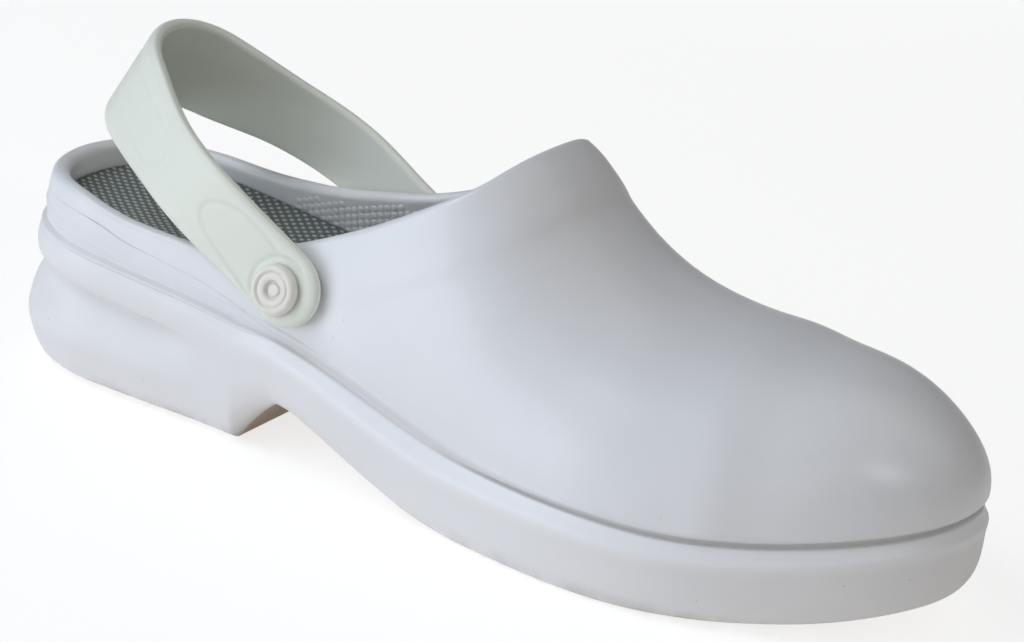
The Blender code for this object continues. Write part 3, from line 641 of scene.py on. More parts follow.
class Paint:
    """A material: its shader, and the one method that adds any other node."""

    def __init__(self, name, **constants):
        self.material = bpy.data.materials.new(name)
        self.material.use_nodes = True
        self.tree = self.material.node_tree
        self.shader = self.tree.nodes["Principled BSDF"]
        for socket, value in constants.items():
            self.shader.inputs[socket.replace("_", " ")].default_value = value

    def node(self, kind, settings=None, inputs=None, output=0):
        item = self.tree.nodes.new(kind)
        for key, value in (settings or {}).items():
            setattr(item, key, value)
        for key, value in (inputs or {}).items():
            if isinstance(value, Value):
                self.tree.links.new(value.socket, item.inputs[key])
            else:
                item.inputs[key].default_value = value
        return Value(self, item.outputs[output])

    def place(self):
        return self.node("ShaderNodeTexCoord", output="Object")

    def axes(self, vector):
        split = self.node("ShaderNodeSeparateXYZ", inputs={0: vector}).socket.node
        return [Value(self, split.outputs[axis]) for axis in range(3)]

    def attribute(self, name):
        return self.node("ShaderNodeAttribute", {"attribute_name": name}, output="Fac")

    def noise(self, scale, detail=3.0, roughness=0.55):
        return self.node("ShaderNodeTexNoise", inputs={
            "Vector": self.place(), "Scale": scale, "Detail": detail, "Roughness": roughness})

    def specks(self, scale, inner, outer):
        """Small spots, one in each cell."""
        cells = self.node("ShaderNodeTexVoronoi", inputs={"Vector": self.place(), "Scale": scale})
        return cells.within(inner, outer)

    def mix(self, share, first, second):
        """Colour between first and second."""
        return self.node("ShaderNodeMix", {"data_type": "RGBA"}, {0: share, 6: first, 7: second}, 2)

    def bump(self, height, distance, strength=1.0, under=None):
        inputs = {"Height": height, "Distance": distance, "Strength": strength}
        if under is not None:
            inputs["Normal"] = under
        return self.node("ShaderNodeBump", inputs=inputs)

    def grain(self, scale, depth):
        """Fine grain of a moulding."""
        return self.bump(self.noise(scale, 2.0), depth, 0.35)

    def feed(self, **links):
        for socket, value in links.items():
            self.tree.links.new(value.socket, self.shader.inputs[socket.replace("_", " ")])
        return self.material


def rgb(red, green, blue):
    """A colour as a socket takes it."""
    return (red, green, blue, 1.0)


# Finishes
def clouded(name, roughness, scale, dark, light):
    """A new paint, and a colour for it that is faintly clouded between two shades."""
    paint = Paint(name, Roughness=roughness)
    return paint, paint.mix(paint.noise(scale), rgb(*dark), rgb(*light))


def shell_finish():
    """Cool white moulded shell: faint mottling, satin gloss, fine grain and specks; painted light on the
    rim and inner wall, painted shade along the joint and in the parting line.
    """
    paint, colour = clouded("shell_cool_white", 0.42, 34.0, (0.74, 0.755, 0.785), (0.80, 0.81, 0.835))
    # Painted light: the rim and inner wall lightened to a paler white
    colour = paint.mix(paint.attribute("painted_light"), colour, rgb(0.93, 0.935, 0.95))
    # Painted shade in the groove along the joint of upper and sole
    colour = paint.mix(paint.attribute("painted_shade") * PAINTED_SHADE_SHARE, colour, rgb(*PAINTED_SHADE_COLOUR))
    # Parting line: its dark grey is painted shade of a groove too fine for the mesh; the bump below also
    # cuts it in
    line = abs(paint.attribute("parting"))
    broken = paint.noise(160.0, 2.0).within(0.35, 0.62)
    hair = line.within(0.06, 0.24) * paint.attribute("parting_shown")
    colour = paint.mix(hair * (0.4 + 0.5 * broken), colour, rgb(0.30, 0.30, 0.33))
    specks = paint.specks(95.0, 0.018, 0.035)
    colour = paint.mix(specks * 0.35, colour, rgb(0.42, 0.41, 0.40))
    rough = 0.275 + 0.06 * paint.noise(70.0)
    grain = paint.grain(2600.0, 0.00004)
    cut = paint.bump(hair * -1.0, 0.0002, 0.8, grain)
    return paint.feed(Base_Color=colour, Roughness=rough, Normal=cut)


def sole_finish():
    """Slightly warmer white moulding, duller, with a painted highlight on the ledge and painted shade
    along the joint, towards the floor and in the heel breast.
    """
    paint, colour = clouded("sole_warm_white", 0.5, 40.0, (0.745, 0.75, 0.765), (0.80, 0.80, 0.81))
    x, _, z = paint.axes(paint.place())
    # Painted highlight: the ledge rows under the joint lightened to a cool pale white
    colour = paint.mix(paint.attribute("ledge_highlight"), colour, rgb(0.84, 0.855, 0.885))
    # Painted shade along the sole's top rows under the joint
    colour = paint.mix(paint.attribute("painted_shade") * PAINTED_SHADE_SHARE, colour, rgb(*PAINTED_SHADE_COLOUR))
    # Painted shade along the sole's foot, a few millimetres above the floor, broken into warm brown
    # patches
    painted_shade = z.within(0.0005, 0.006) * paint.noise(120.0, 4.0).within(0.30, 0.65)
    colour = paint.mix(painted_shade * 0.4, colour, rgb(0.36, 0.33, 0.29))
    # Painted shade: warm brown on the underside at the heel breast
    station = (x - HEEL_BACK) / MM
    breast_shade = abs(station - BREAST_STATION).within(5.0, 10.0) * paint.attribute("under")
    colour = paint.mix(breast_shade * 0.8, colour, rgb(0.40, 0.32, 0.23))
    specks = paint.specks(110.0, 0.02, 0.04)
    colour = paint.mix(specks * 0.4, colour, rgb(0.40, 0.38, 0.35))
    rough = 0.35 + 0.12 * paint.noise(60.0)
    grain = paint.grain(2200.0, 0.00005)
    return paint.feed(Base_Color=colour, Roughness=rough, Normal=grain)


def stud_painted_light_finish():
    """Paler white of the studs moulded inside the shoe: painted light that lifts them in the shaded
    inside.
    """
    paint, colour = clouded("stud_white_painted_light", 0.5, 300.0, (0.90, 0.91, 0.925), (0.95, 0.955, 0.965))
    return paint.feed(Base_Color=colour, Roughness=0.42 + 0.10 * paint.noise(200.0))


def strap_finish():
    """Pale sage moulding with a soft sheen; its inner face is lightened towards the pivots as painted
    light.
    """
    paint, colour = clouded("strap_sage", 0.42, 50.0, (0.735, 0.775, 0.69), (0.795, 0.825, 0.745))
    # Painted light: the inner face mixed to a paler sage
    colour = paint.mix(paint.attribute("painted_light"), colour, rgb(0.91, 0.94, 0.865))
    rough = 0.38 + 0.12 * paint.noise(90.0)
    grain = paint.grain(2400.0, 0.00004)
    return paint.feed(Base_Color=colour, Roughness=rough, Normal=grain)


def rivet_finish():
    """Cream white moulding, a little glossier than the strap."""
    paint, colour = clouded("rivet_cream", 0.36, 220.0, (0.77, 0.75, 0.69), (0.82, 0.80, 0.745))
    return paint.feed(Base_Color=colour, Roughness=0.32 + 0.12 * paint.noise(300.0))


def insole_finish():
    """Dark green-grey cloth with light dots in a diagonal grid."""
    paint = Paint("insole_dotted_cloth", Roughness=0.85)
    turned = paint.node("ShaderNodeMapping", inputs={
        "Vector": paint.place(), "Rotation": (0.0, 0.0, DOT_TURN), "Scale": (1.0 / DOT_PITCH,) * 3})
    along, across = (axis.fraction() - 0.5 for axis in paint.axes(turned)[:2])
    dots = ((along * along + across * across) ** 0.5).within(*DOT_EDGE)
    weave = paint.noise(1500.0, 2.0)
    cloth = paint.mix(weave, rgb(0.115, 0.135, 0.128), rgb(0.195, 0.215, 0.205))
    colour = paint.mix(dots, cloth, rgb(0.50, 0.54, 0.53))
    relief = paint.bump(dots + 0.4 * weave, 0.0004, 0.6)
    return paint.feed(Base_Color=colour, Normal=relief)


def floor_finish(name, shade, glow, warmth):
    """Pale floor with faint clouding, and a glow that evens out its light."""
    paint = Paint(name, Roughness=0.7, Emission_Color=rgb(*warmth), Emission_Strength=glow)
    colour = paint.mix(paint.noise(3.0), rgb(shade, shade, shade), rgb(*[shade + FLOOR_CLOUD] * 3))
    return paint.feed(Base_Color=colour)


# Upper
def topline_ring():
    """Points of the topline on the last, one for each column of the seam ring."""
    station = TOPLINE_MATCH.at("topline", LOOP)
    height = np.where(SIDE < 0.0, TOPLINE.at("lateral", station), TOPLINE.at("medial", station))
    middle = crest(station)
    sideways = np.stack([0.0 * station, SIDE, 0.0 * station], -1)
    side = cast(np.stack([station, middle, height], -1), sideways)
    hub = np.stack([np.full(len(station), HEEL_HUB), 0.0 * station, height], -1)
    heel = cast(hub, unit((SEAM - hub) * (1.0, 1.0, 0.0)))
    return np.where((LOOP < HEEL_HUB)[:, None], heel, side)


def mend_heel(columns):
    """Puts the column at the very heel, where the last has no width, on the curve of its neighbours."""
    columns[0] = (4.0 * (columns[1] + columns[-1]) - columns[2] - columns[-2]) / 6.0
    return columns


def grid_normals(rows):
    """Outward directions at the points of rows that run round the shoe, lowest row first."""
    along = np.roll(rows, -1, axis=1) - np.roll(rows, 1, axis=1)
    return unit(np.cross(along, np.gradient(rows, axis=0)))


def wall_lines(topline):
    """Lines on the last from the foot of the wall up to the topline, one for each column."""
    hub_station = np.clip(LOOP, HEEL_HUB, TOE_HUB)
    hub = np.stack([hub_station, SECTIONS.at("centre", hub_station), SEAM[:, 2] + FOOT_HEIGHT], -1)
    under = np.stack([topline[:, 0], crest(topline[:, 0]), topline[:, 2]], -1)
    under += (THROAT_AHEAD, 0.0, -THROAT_UNDER)
    shift = ease(*THROAT_COLUMNS, LOOP)[:, None] * (under - hub)
    start = unit((SEAM - hub) * (1.0, 1.0, 0.0))[:, None]
    end = unit(topline - hub - shift)[:, None]
    share = np.linspace(0.0, 1.0, LINE_POINTS)[None, :, None]
    origin = hub[:, None] + shift[:, None] * share * share * (3.0 - 2.0 * share)
    lines = cast(origin, unit(start * (1.0 - share) + end * share))
    lines[:, -1] = topline
    return mend_heel(lines)


def rows_along(lines, stop):
    """Rows of points along the lines, ending a given length short of their tops, and that way to go."""
    gaps = np.linalg.norm(np.diff(lines, axis=1), axis=-1)
    along = np.concatenate([np.zeros((len(lines), 1)), np.cumsum(gaps, axis=1)], axis=1)
    rows = np.zeros((WALL_ROWS, len(lines), 3))
    left = np.zeros((WALL_ROWS, len(lines)))
    share = np.linspace(0.0, 1.0, WALL_ROWS) ** WALL_ROW_POWER
    for i, (line, length) in enumerate(zip(lines, along)):
        want = (length[-1] - stop[i]) * share
        rows[:, i] = np.stack([np.interp(want, length, line[:, axis]) for axis in range(3)], -1)
        left[:, i] = length[-1] - want
    return rows, left


def foot_inset(high):
    """How far the wall draws in above its foot: a soft valley at the heel, a rolled edge further on."""
    roll = np.clip(1.0 - high / FOOT_ROLL, 0.0, 1.0)
    rolled = FOOT_GROOVE * (1.0 - np.sqrt(1.0 - roll ** 2))
    valley = HEEL_VALLEY.at("depth", LOOP) * bell(high, HEEL_VALLEY_HEIGHT)
    return valley + ease(*FOOT_CRISP, LOOP) * (rolled - valley)


def shell_relief(rows, left, topline):
    """Low relief of the outer wall: padded collar, ridge behind the toe cap, and inset foot."""
    edge = COLLAR_BAND_WIDTH
    band = 1.0 - ease(edge - COLLAR_BAND_BLEND, edge + COLLAR_BAND_BLEND, left)
    band = COLLAR_BAND_HEIGHT * band * ease(*COLLAR_BAND_FADE, rows[..., 0])
    throat = ease(*THROAT_BAND, topline[:, 0])
    collar = band + throat * (THROAT_COLLAR.at("out", left) - band)
    cap = TOE_CAP_STATION + TOE_CAP_SWEEP * (rows[..., 1] - SECTIONS.at("centre", TOE_CAP_STATION)) ** 2
    ridge = bell(rows[..., 0] - cap, TOE_CAP_BLEND)
    ridge -= TOE_CAP_DIP * bell(rows[..., 0] - cap - 2.0 * TOE_CAP_BLEND, TOE_CAP_BLEND)
    return collar + TOE_CAP_HEIGHT * ridge - foot_inset(rows[..., 2] - JOINT)


def foot_lift():
    """How far the wall's lower edge stands off the joint: open on the side, nearly shut at the tip."""
    return FOOT_LIFT * ease(*FOOT_CRISP, LOOP) * (1.0 - TIP_CLOSING * ease(*TIP_REACH, LOOP))


def foot_rows():
    """The lower edge of the wall: lifted where the groove is open, tucked in at the heel."""
    low = JOINT + SEAM_GAP / 2.0 + foot_lift() - FOOT_TUCK * (1.0 - ease(*FOOT_CRISP, LOOP))
    high = SEAM[:, 2] + FOOT_HEIGHT
    rows = []
    for share in np.linspace(0.0, 1.0, FOOT_ROWS, endpoint=False) ** 2:
        rows.append(seam_offset(-foot_inset((high - JOINT) * share), low + (high - low) * share))
    return np.array(rows)


def close_throat(shell):
    """Merges the columns that run together in the middle of the throat's rim."""
    bpy.ops.object.mode_set(mode="EDIT")
    bpy.ops.mesh.select_all(action="DESELECT")
    bpy.ops.object.mode_set(mode="OBJECT")
    for point in shell.data.vertices:
        point.select = point.co.z > THROAT_HEIGHT * MM
    bpy.ops.object.mode_set(mode="EDIT")
    bpy.ops.mesh.remove_doubles(threshold=THROAT_WELD)
    bpy.ops.mesh.select_all(action="SELECT")
    bpy.ops.mesh.normals_make_consistent(inside=False)
    bpy.ops.object.mode_set(mode="OBJECT")


def make_upper():
    """The hollow shell: lower edge, outer wall, rounded rim, and inner wall back down."""
    topline = mend_heel(topline_ring())
    lines = wall_lines(topline)
    radius = SECTIONS.at("wall", topline[:, 0]) / 2.0
    outer, left = rows_along(lines, radius)
    normal = grid_normals(outer)
    wall = SECTIONS.at("wall", outer[..., 0])[..., None]
    inner = outer - wall * normal
    outer = outer + shell_relief(outer, left, topline)[..., None] * normal
    up = unit(lines[:, -1] - lines[:, -RIM_UP_POINTS])
    hub = (outer[-1] + inner[-1]) / 2.0
    away = outer[-1] - hub
    reach = np.linalg.norm(away, axis=1, keepdims=True)
    rim = []
    for turn in np.linspace(0.0, math.pi, RIM_ROWS + 2)[1:-1]:
        rim.append(hub + math.cos(turn) * away + math.sin(turn) * reach * up)
    foot = foot_rows()
    inside = seam_offset(-SECTIONS.at("wall", LOOP), SEAM[:, 2] + SEAM_GAP / 2.0)[None]
    rows = np.concatenate([foot, outer, np.array(rim), inner[::-2], inside])
    shell = new_piece("upper_shell", rows, shell_finish(), wrap_rows=True)
    below_rim = len(foot) + len(outer)
    station, height = rows[..., 0], rows[..., 2]
    shown = PARTING_FAINT + (1.0 - PARTING_FAINT) * bell(station - PARTING_DARK, PARTING_REACH)
    shown *= ease(*PARTING_START, station) * (1.0 - ease(*PARTING_END, station))
    shown[below_rim:] = 0.0
    # Painted shade close over the joint, fading in from the waist forward; none on rim and inner wall
    painted_shade = bell(height - JOINT, JOINT_SHADE_HEIGHT) * ease(*JOINT_PAINT_START, station)
    painted_shade[below_rim:] = 0.0
    # Painted light on the rim and inner wall, easing in over the rim's first rows
    painted_light = spread_rows(ease(RIM_PAINTED_LIGHT, RIM_ROWS - RIM_PAINTED_LIGHT, np.arange(len(rows)) - below_rim))
    parting = height - PARTING.at("height", station)
    marks = (("parting", parting), ("parting_shown", shown), ("painted_shade", painted_shade), ("painted_light", painted_light))
    for name, shares in marks:
        store(shell, name, shares, wrap_rows=True)
    close_throat(join_ends(shell))
    stand_for(shell, "upper", "upper")


# Sole and insole
def inner_offset(height, clearance):
    """How far inside the seam line a piece stops short of the upper's inner wall."""
    above = np.maximum(height - SEAM[:, 2], 0.0)
    return -(SECTIONS.at("wall", LOOP) + SECTIONS.at("lean", LOOP) * above + clearance)


def spine(ring, start, end):
    """The middle line that the columns of a ring run in to, between two stations."""
    station = np.clip(LOOP, start, end)
    return np.stack([station, SECTIONS.at("centre", station), ring[:, 2]], -1)


def footbed_rows(ring, sink, count):
    """Rows across the footbed from its middle line out to a ring."""
    middle = spine(ring, HEEL_HUB, TOE_HUB)
    rows = []
    for share in np.linspace(0.0, 1.0, count, endpoint=False):
        row = middle + (ring - middle) * share
        dip = FOOTBED.at("cup", row[:, 0]) * (1.0 - share ** 2)
        row[:, 2] = FOOTBED.at("edge", row[:, 0]) - dip - sink
        rows.append(row)
    return np.array(rows)


def side_rows():
    """Rows down the sole's side, on a smooth curve through its steps."""
    bottom = UNDERSIDE.at("height", LOOP)
    fore = ease(*SIDE_BLEND, LOOP)
    shares = np.array([heel + (front - heel) * fore for _, _, heel, front, *_ in SIDE_STEPS])
    outs = np.array([steady(SIDE_STATIONS, out, LOOP) for _, _, _, _, *out in SIDE_STEPS])
    top = SEAM[:, 2] + SEAM_GAP + foot_lift()
    drops = np.array([follow * JOINT_DROP.at("drop", LOOP) for _, follow, *_ in SIDE_STEPS])
    knots = np.arange(len(SIDE_STEPS))
    heights = smooth(knots, top + (bottom - top) * shares - drops, SIDE_PLACES)
    outs = smooth(knots, outs, SIDE_PLACES)
    return np.array([seam_offset(out, height) for out, height in zip(outs, heights)])


def underside_rows(ring):
    """Rows across the underside from its edge in to its middle line."""
    middle = spine(ring, HEEL_HUB, TOE_HUB)
    rows = []
    for share in np.linspace(0.0, 1.0, BOTTOM_ROWS + 1)[1:]:
        row = ring + (middle - ring) * share
        row[:, 2] = UNDERSIDE.at("height", row[:, 0])
        rows.append(row)
    return np.array(rows)


def tread_bars():
    """Round-edged bars across the underside that cut its tread channels."""
    cuts = [(station, *sizes) for *sizes, stations in TREADS for station in stations]
    bars = []
    for station, width, depth, margin in cuts:
        ahead, behind = UNDERSIDE.at("height", station + np.array([0.5, -0.5]) * width)
        length = 2.0 * (float(seam_half_width(station)) - margin)
        centre = float(SECTIONS.at("centre", station))
        middle = placed((station, centre, float(UNDERSIDE.at("height", station))))
        bpy.ops.object.select_all(action="DESELECT")
        bpy.ops.mesh.primitive_cube_add(size=1.0, location=middle,
                                        rotation=(0.0, math.atan2(behind - ahead, width), 0.0))
        bar = bpy.context.object
        bar.dimensions = (width * MM, length * MM, 2.0 * depth * MM)
        bpy.ops.object.transform_apply(location=True, rotation=True, scale=True)
        apply_modifier(bar, "BEVEL", width=TREAD_BEVEL * width * MM, segments=TREAD_BEVEL_SEGMENTS)
        bars.append(bar)
    select(*bars)
    bpy.ops.object.join()
    return bars[0]


def ledge_highlight_share():
    """How strong the painted highlight on the ledge under the joint is along the shoe."""
    return LEDGE_HIGHLIGHT_HEEL + (1.0 - LEDGE_HIGHLIGHT_HEEL) * ease(*JOINT_PAINT_START, LOOP)


def make_sole():
    """The moulded sole: seat for the insole, side, underside and tread channels."""
    shelf = SEAM[:, 2] - SEAM_GAP / 2.0
    sink = INSOLE_THICKNESS + SEAM_GAP
    seat = FOOTBED.at("edge", LOOP) - sink
    edge = seam_offset(inner_offset(seat, INSOLE_CLEARANCE), seat)
    side = side_rows()
    walls = np.array([edge, seam_offset(inner_offset(shelf, SEAM_GAP), shelf)])
    rows = np.concatenate([footbed_rows(edge, sink, SEAT_ROWS), walls, side, underside_rows(side[-1])])
    sole = new_piece("sole_body", rows, sole_finish())
    # The underside rows, where the heel breast gets painted shade
    depth = np.arange(len(rows)) - (len(rows) - BOTTOM_ROWS - UNDER_BLEND_ROWS)
    store(sole, "under", spread_rows(ease(0.0, UNDER_BLEND_ROWS, depth)))
    steps = SIDE_PLACES[:, None]
    first = SEAT_ROWS + len(walls)
    # Painted highlight on the ledge rows and painted shade on the top rows under the joint
    ledge_highlight = ease(*LEDGE_HIGHLIGHT_RISE, steps) * (1.0 - ease(*LEDGE_HIGHLIGHT_FALL, steps)) * ledge_highlight_share()
    painted_shade = (1.0 - ease(*JOINT_SHADE_FALL, steps)) * ease(*JOINT_PAINT_START, LOOP)
    for name, shown in (("ledge_highlight", ledge_highlight), ("painted_shade", painted_shade)):
        shares = np.zeros(rows.shape[:2])
        shares[first:first + SIDE_ROWS] = shown
        store(sole, name, shares)
    join_ends(sole)
    bars = tread_bars()
    apply_modifier(sole, "BOOLEAN", operation="DIFFERENCE", object=bars)
    bpy.data.objects.remove(bars, do_unlink=True)
    select(sole)
    bpy.ops.object.shade_smooth_by_angle(angle=math.radians(TREAD_SHARP_ANGLE))
    stand_for(sole, "sole", "sole")


def make_insole():
    """The loose footbed: face, edge and underside."""
    top = FOOTBED.at("edge", LOOP)
    edge = inner_offset(top, 2.0 * INSOLE_CLEARANCE)
    upper_edge = seam_offset(edge, top)
    lower_edge = seam_offset(edge, top - INSOLE_THICKNESS)
    under = footbed_rows(lower_edge, INSOLE_THICKNESS, SEAT_ROWS)[::-1]
    rows = np.concatenate([footbed_rows(upper_edge, 0.0, 2 * SEAT_ROWS), [upper_edge, lower_edge], under])
    insole = join_ends(new_piece("insole_sheet", rows, insole_finish()))
    stand_for(insole, "insole", "insole")


# Strap and rivets
def strap_axes():
    """Directions along the strap's plane to the rear and square to that plane."""
    rise = math.radians(STRAP_RISE)
    rearwards = np.array([-math.cos(rise), 0.0, math.sin(rise)])
    return rearwards, np.array([math.sin(rise), 0.0, math.cos(rise)])


def strap_spread():
    """Half width over the strap at its pivots, clear of the collar wall."""
    wall = cast(PIVOT_MIDDLE, np.array([0.0, -1.0, 0.0]))
    return abs(wall[1]) + STRAP_CLEARANCE + STRAP_THICKNESS


def pivot(side):
    """Middle of the strap's outer face at a pivot, and the direction that the face looks in."""
    rearwards, upwards = strap_axes()
    lean = math.radians(STRAP_LEAN.values["angle"][0])
    flat = unit(STRAP_SPLAY * rearwards + np.array([0.0, side, 0.0]))
    point = np.array([PIVOT_STATION, side * strap_spread(), PIVOT_HEIGHT])
    return point, flat * math.cos(lean) + upwards * math.sin(lean)


def strap_path(bow):
    """Half of the strap's outer line in its plane: distance back from the pivots, and half width."""
    lobe = -STRAP_LOBE * np.cos(np.linspace(0.0, math.pi / 2.0, STRAP_LOBE_COLUMNS, endpoint=False))
    join = math.radians(STRAP_JOIN_ANGLE)
    turn = np.linspace(join, math.pi / 2.0, STRAP_BEND_COLUMNS + 1)
    hub = STRAP_REACH - STRAP_BEND_RADIUS
    run = hub + STRAP_BEND_RADIUS * math.sin(join)
    spread = strap_spread()
    t = np.linspace(0.0, 1.0, STRAP_SIDE_COLUMNS, endpoint=False)
    side = spread - STRAP_SPLAY * run * t * (1.0 - t) ** 2 - spread * t ** 2 * (3.0 - 2.0 * t)
    side += STRAP_BEND_RADIUS * math.cos(join) * t ** 2 * (3.0 - 2.0 * t)
    side += math.tan(join) * run * t ** 2 * (1.0 - t) + bow * (4.0 * t * (1.0 - t)) ** 2
    back = np.concatenate([lobe, run * t, hub + STRAP_BEND_RADIUS * np.sin(turn)])
    width = np.concatenate([spread - STRAP_SPLAY * lobe, side, STRAP_BEND_RADIUS * np.cos(turn)])
    return back, width


def strap_relief(back, across):
    """Embossed lines on the strap's face: ring, drop and back panel, each as a fine groove."""
    ring = np.hypot(back, across) - RING_RADIUS
    ring_shown = ease(*RING_SHOWN, back)
    along = np.clip((back - DROP_START) / DROP_LENGTH, 0.0, 2.0)
    off = across - DROP_BOW * (1.0 - ((back - DROP_BOW_MIDDLE) / DROP_BOW_REACH) ** 2)
    shape = along ** DROP_POWER + (off / DROP_HALF) ** 2 - 1.0
    run = DROP_POWER * along ** (DROP_POWER - 1.0) / DROP_LENGTH
    drop = shape / np.maximum(np.hypot(run, 2.0 * off / DROP_HALF ** 2), DROP_FLATTEST)
    drop_shown = ease(*DROP_OFF_RING, ring) * ease(*DROP_SHOWN, back) * (1.0 - ease(*DROP_HIDDEN, back))
    panel = np.hypot(np.minimum(back - PANEL_START - PANEL_HALF, 0.0), across) - PANEL_HALF
    panel_shown = ease(*PANEL_SHOWN, back)
    lines = RING_SHARE * ring_shown * bell(ring, EMBOSS_WIDTH)
    lines = np.maximum(lines, drop_shown * bell(drop, EMBOSS_WIDTH))
    lines = np.maximum(lines, PANEL_SHARE * panel_shown * bell(panel, EMBOSS_WIDTH))
    sunk = drop_shown * ease(*DROP_SUNK, drop)
    return -EMBOSS_DEPTH * lines - EMBOSS_SUNK * sunk


def edge_drop(distance, reach):
    """How far the strap's face falls away towards its outline, on a quarter of an oval."""
    inside = np.clip(1.0 - distance / reach, 0.0, 1.0)
    return STRAP_EDGE * (1.0 - np.sqrt(1.0 - inside ** 2))


def make_strap():
    """The heel strap in one loop: embossed outer face, plain inner face and rounded edges."""
    back, lateral = strap_path(STRAP_BOW_LATERAL)
    medial = strap_path(STRAP_BOW_MEDIAL)[1]
    rearwards, upwards = strap_axes()
    sideways = np.array([0.0, 1.0, 0.0])
    line = np.concatenate([np.stack([back, -lateral], -1), np.stack([back, medial], -1)[-2::-1]])
    along = unit(np.gradient(line, axis=0))
    away = np.stack([along[:, 1], -along[:, 0]], -1)
    reach = np.clip(line[:, 0] / STRAP_REACH, 0.0, 1.0)
    lean = np.radians(STRAP_LEAN.at("angle", reach))[:, None]
    over, under = STRAP_EDGES.at("over", reach), STRAP_EDGES.at("under", reach)
    half = (over + under) / 2.0
    lobe = np.minimum(line[:, 0], 0.0) / STRAP_LOBE
    band = half * np.sqrt(np.maximum(1.0 - lobe ** 2, 0.0))
    outwards = away[:, :1] * rearwards + away[:, 1:] * sideways
    across = upwards * np.cos(lean) - outwards * np.sin(lean)
    outwards = outwards * np.cos(lean) + upwards * np.sin(lean)
    centre = PIVOT_MIDDLE + line[:, :1] * rearwards + line[:, 1:] * sideways
    share = np.sin(np.linspace(-math.pi / 2.0, math.pi / 2.0, STRAP_ROWS))
    distance = (1.0 - np.hypot(lobe, share[:, None] * band / half)) * half
    high = share[:, None] * band + (over - under) / 2.0
    relief = strap_relief(np.broadcast_to(line[:, 0], high.shape), high)
    face = relief * ease(*EMBOSS_INSET, distance) - edge_drop(distance, STRAP_OUTER_ROUND)
    inner = edge_drop(distance, STRAP_INNER_ROUND) - STRAP_THICKNESS
    outer_rows = centre + high[..., None] * across + face[..., None] * outwards
    inner_rows = centre + high[..., None] * across + inner[..., None] * outwards
    rows = np.concatenate([outer_rows, inner_rows[::-1]]).transpose(1, 0, 2)
    strap = new_piece("strap_band", rows, strap_finish())
    # Painted light: the inner face lightened towards the pivots
    painted_light = np.zeros(rows.shape[:2])
    painted_light[:, STRAP_ROWS:] = 1.0 - ease(*STRAP_PAINTED_LIGHT, reach)[:, None]
    store(strap, "painted_light", painted_light)
    join_ends(strap)
    stand_for(strap, "heel_strap", "heel_strap")


def make_rivets():
    """Turned rivets: ringed cap, stem and inner head, square to the strap's face."""
    wall = float(SECTIONS.at("wall", PIVOT_STATION))
    depth = RIVET_CLEARANCE + STRAP_THICKNESS + STRAP_CLEARANCE + wall + RIVET_HEAD_CLEARANCE
    knots = np.arange(len(RIVET_CAP))
    cap = smooth(knots, np.array(RIVET_CAP), np.linspace(0.0, knots[-1], RIVET_CAP_POINTS * len(knots)))
    profile = [(max(radius, 0.0), share * RIVET_HEIGHT) for radius, share in cap]
    profile += [(RIVET_STEM, 0.0), (RIVET_STEM, -depth), (RIVET_HEAD, -depth)]
    profile += [(RIVET_HEAD, -depth - RIVET_HEAD_HEIGHT), (0.0, -depth - RIVET_HEAD_HEIGHT)]
    turn = np.linspace(0.0, 2.0 * math.pi, RIVET_SEGMENTS, endpoint=False)
    rearwards = strap_axes()[0]
    finish = rivet_finish()
    for label, side in SIDES:
        point, direction = pivot(side)
        first = unit(rearwards - direction * np.dot(rearwards, direction))
        second = np.cross(direction, first)
        ring = np.cos(turn)[:, None] * first + np.sin(turn)[:, None] * second
        base = point + RIVET_CLEARANCE * direction
        rows = np.array([base + high * direction + radius * ring for radius, high in profile])
        rivet = join_ends(new_piece("rivet_cap_" + label, rows, finish))
        bpy.ops.object.shade_smooth_by_angle(angle=math.radians(SHARP_ANGLE))
        stand_for(rivet, "rivet", "rivet_" + label)


def wall_inside(station, height, side):
    """A point of the upper's inner wall and the direction into the shoe there."""
    outer = cast(np.array([station, float(crest(station)), height]), np.array([0.0, side, 0.0]))
    normal = last_normal(outer)
    return outer - SECTIONS.at("wall", station) * normal, -normal


def make_studs():
    """Rows of low studs moulded on the inner walls, between the insole and the rim."""
    bpy.ops.object.select_all(action="DESELECT")
    bpy.ops.mesh.primitive_uv_sphere_add(segments=STUD_SEGMENTS, ring_count=STUD_RINGS, radius=1.0)
    model = bpy.context.object
    bpy.ops.object.mode_set(mode="EDIT")
    bpy.ops.mesh.select_all(action="SELECT")
    bpy.ops.mesh.bisect(plane_co=(0.0, 0.0, STUD_FOOT), plane_no=(0.0, 0.0, 1.0),
                        clear_inner=True, use_fill=True)
    bpy.ops.mesh.normals_make_consistent(inside=False)
    bpy.ops.object.mode_set(mode="OBJECT")
    bpy.ops.object.shade_smooth_by_angle(angle=math.radians(SHARP_ANGLE))
    # The studs take the paler white of painted light
    model.data.materials.append(stud_painted_light_finish())
    size = Matrix.Diagonal((STUD_RADIUS * MM, STUD_RADIUS * MM, STUD_HEIGHT * MM, 1.0))
    studs = []
    for label, side in SIDES:
        for column in range(STUD_COLUMNS):
            station = STUD_START + STUD_PITCH * column
            low = float(FOOTBED.at("edge", station)) + STUD_MARGIN_LOW + STUD_RISE * 0.5 * (column % 2)
            high = float(TOPLINE.at(label, station)) - STUD_MARGIN_HIGH
            for height in np.arange(low, high, STUD_RISE):
                point, inwards = wall_inside(station, height, side)
                stud = model.copy()
                stud.data = model.data.copy()
                turn = Vector(inwards).to_track_quat("Z", "Y").to_matrix().to_4x4()
                stud.data.transform(Matrix.Translation(placed(point)) @ turn @ size)
                bpy.context.scene.collection.objects.link(stud)
                studs.append(stud)
    bpy.data.objects.remove(model, do_unlink=True)
    select(*studs)
    bpy.ops.object.join()
    studs[0].name = "wall_studs"
    studs[0].data.name = "wall_studs"
    stand_for(studs[0], "upper")


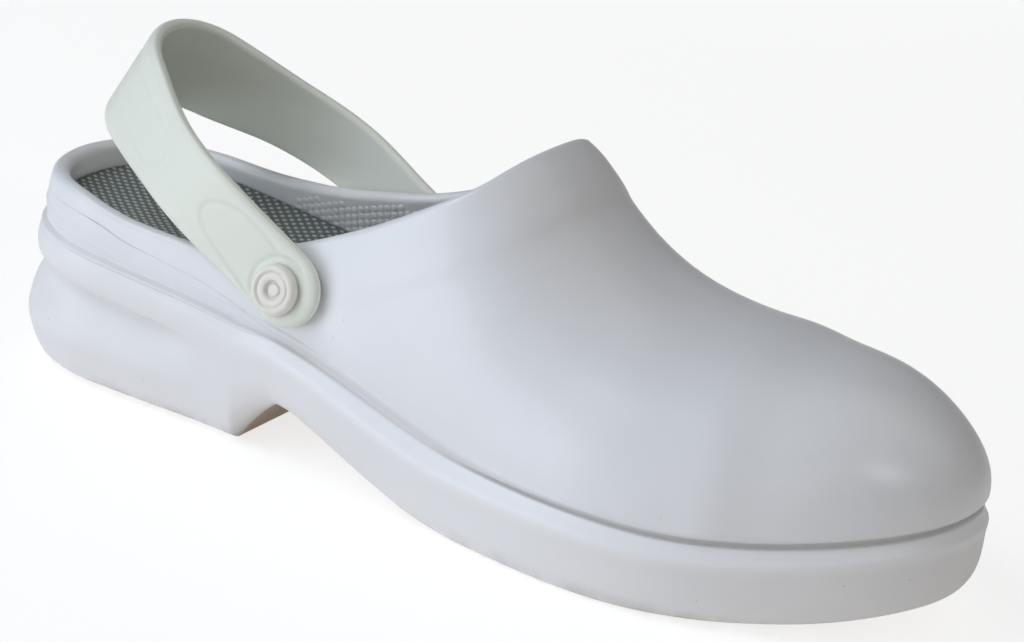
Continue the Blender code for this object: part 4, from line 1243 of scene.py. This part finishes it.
# Studio
def outlook(azimuth, elevation):
    """Direction from the shoe to an azimuth and elevation in degrees."""
    turn, rise = math.radians(azimuth), math.radians(elevation)
    return Vector((math.sin(turn) * math.cos(rise), -math.cos(turn) * math.cos(rise), math.sin(rise)))


def add_area(name, azimuth, elevation, size, power, colour):
    """A soft square light that looks at the shoe from a direction."""
    back = outlook(azimuth, elevation)
    lamp = bpy.data.lights.new(name, "AREA")
    lamp.shape = "SQUARE"
    lamp.size = size
    lamp.energy = power
    lamp.color = colour
    item = bpy.data.objects.new(name, lamp)
    item.location = Vector(LAMP_AIM) + back * LAMP_DISTANCE
    item.rotation_mode = "QUATERNION"
    item.rotation_quaternion = back.to_track_quat("Z", "Y")
    item.visible_glossy = name not in MATT_LAMPS
    bpy.context.scene.collection.objects.link(item)


def add_floor(name, depth, shade, glow, warmth, looked_at):
    """A floor that is either looked at or only throws light back on the shoe."""
    bpy.ops.object.select_all(action="DESELECT")
    bpy.ops.mesh.primitive_plane_add(size=FLOOR_SIZE, location=(0.0, 0.0, -depth))
    floor = bpy.context.object
    floor.name = name
    floor.visible_camera = looked_at
    floor.visible_diffuse = not looked_at
    floor.visible_glossy = not looked_at
    floor.visible_shadow = False
    floor.data.materials.append(floor_finish(name, shade, glow, warmth))


def make_studio():
    """Floors, surround and lamps."""
    add_floor("studio_floor", 0.0, FLOOR_SHADE, FLOOR_GLOW, (1.0, 1.0, 1.0), True)
    add_floor("studio_bounce", BOUNCE_DEPTH, BOUNCE_SHADE, BOUNCE_GLOW, BOUNCE_WARMTH, False)
    world = bpy.data.worlds.new("studio")
    world.use_nodes = True
    background = world.node_tree.nodes["Background"]
    background.inputs["Color"].default_value = (1.0, 1.0, 1.0, 1.0)
    background.inputs["Strength"].default_value = SURROUND_LIGHT
    bpy.context.scene.world = world
    world.cycles_visibility.diffuse = False
    world.cycles_visibility.glossy = False
    for lamp in LAMPS:
        add_area(*lamp)
    bpy.context.scene.view_settings.view_transform = "Standard"


def make_camera():
    """The camera of the photograph, turned about its own axis by the roll."""
    turn, roll = math.radians(CAMERA_AZIMUTH), math.radians(CAMERA_ROLL)
    back = outlook(CAMERA_AZIMUTH, CAMERA_ELEVATION)
    level = Vector((math.cos(turn), math.sin(turn), 0.0))
    upright = back.cross(level)
    right = level * math.cos(roll) + upright * math.sin(roll)
    up = upright * math.cos(roll) - level * math.sin(roll)
    camera = bpy.data.objects.new("photo_camera", bpy.data.cameras.new("photo_camera"))
    camera.data.lens = CAMERA_LENS
    bpy.context.scene.collection.objects.link(camera)
    place = Matrix((right, up, back)).transposed().to_4x4()
    place.translation = Vector(placed(CAMERA_TARGET)) + back * CAMERA_DISTANCE * MM
    camera.matrix_world = place
    bpy.context.scene.camera = camera


make_upper()
make_sole()
make_insole()
make_strap()
make_rivets()
make_studs()
make_studio()
make_camera()
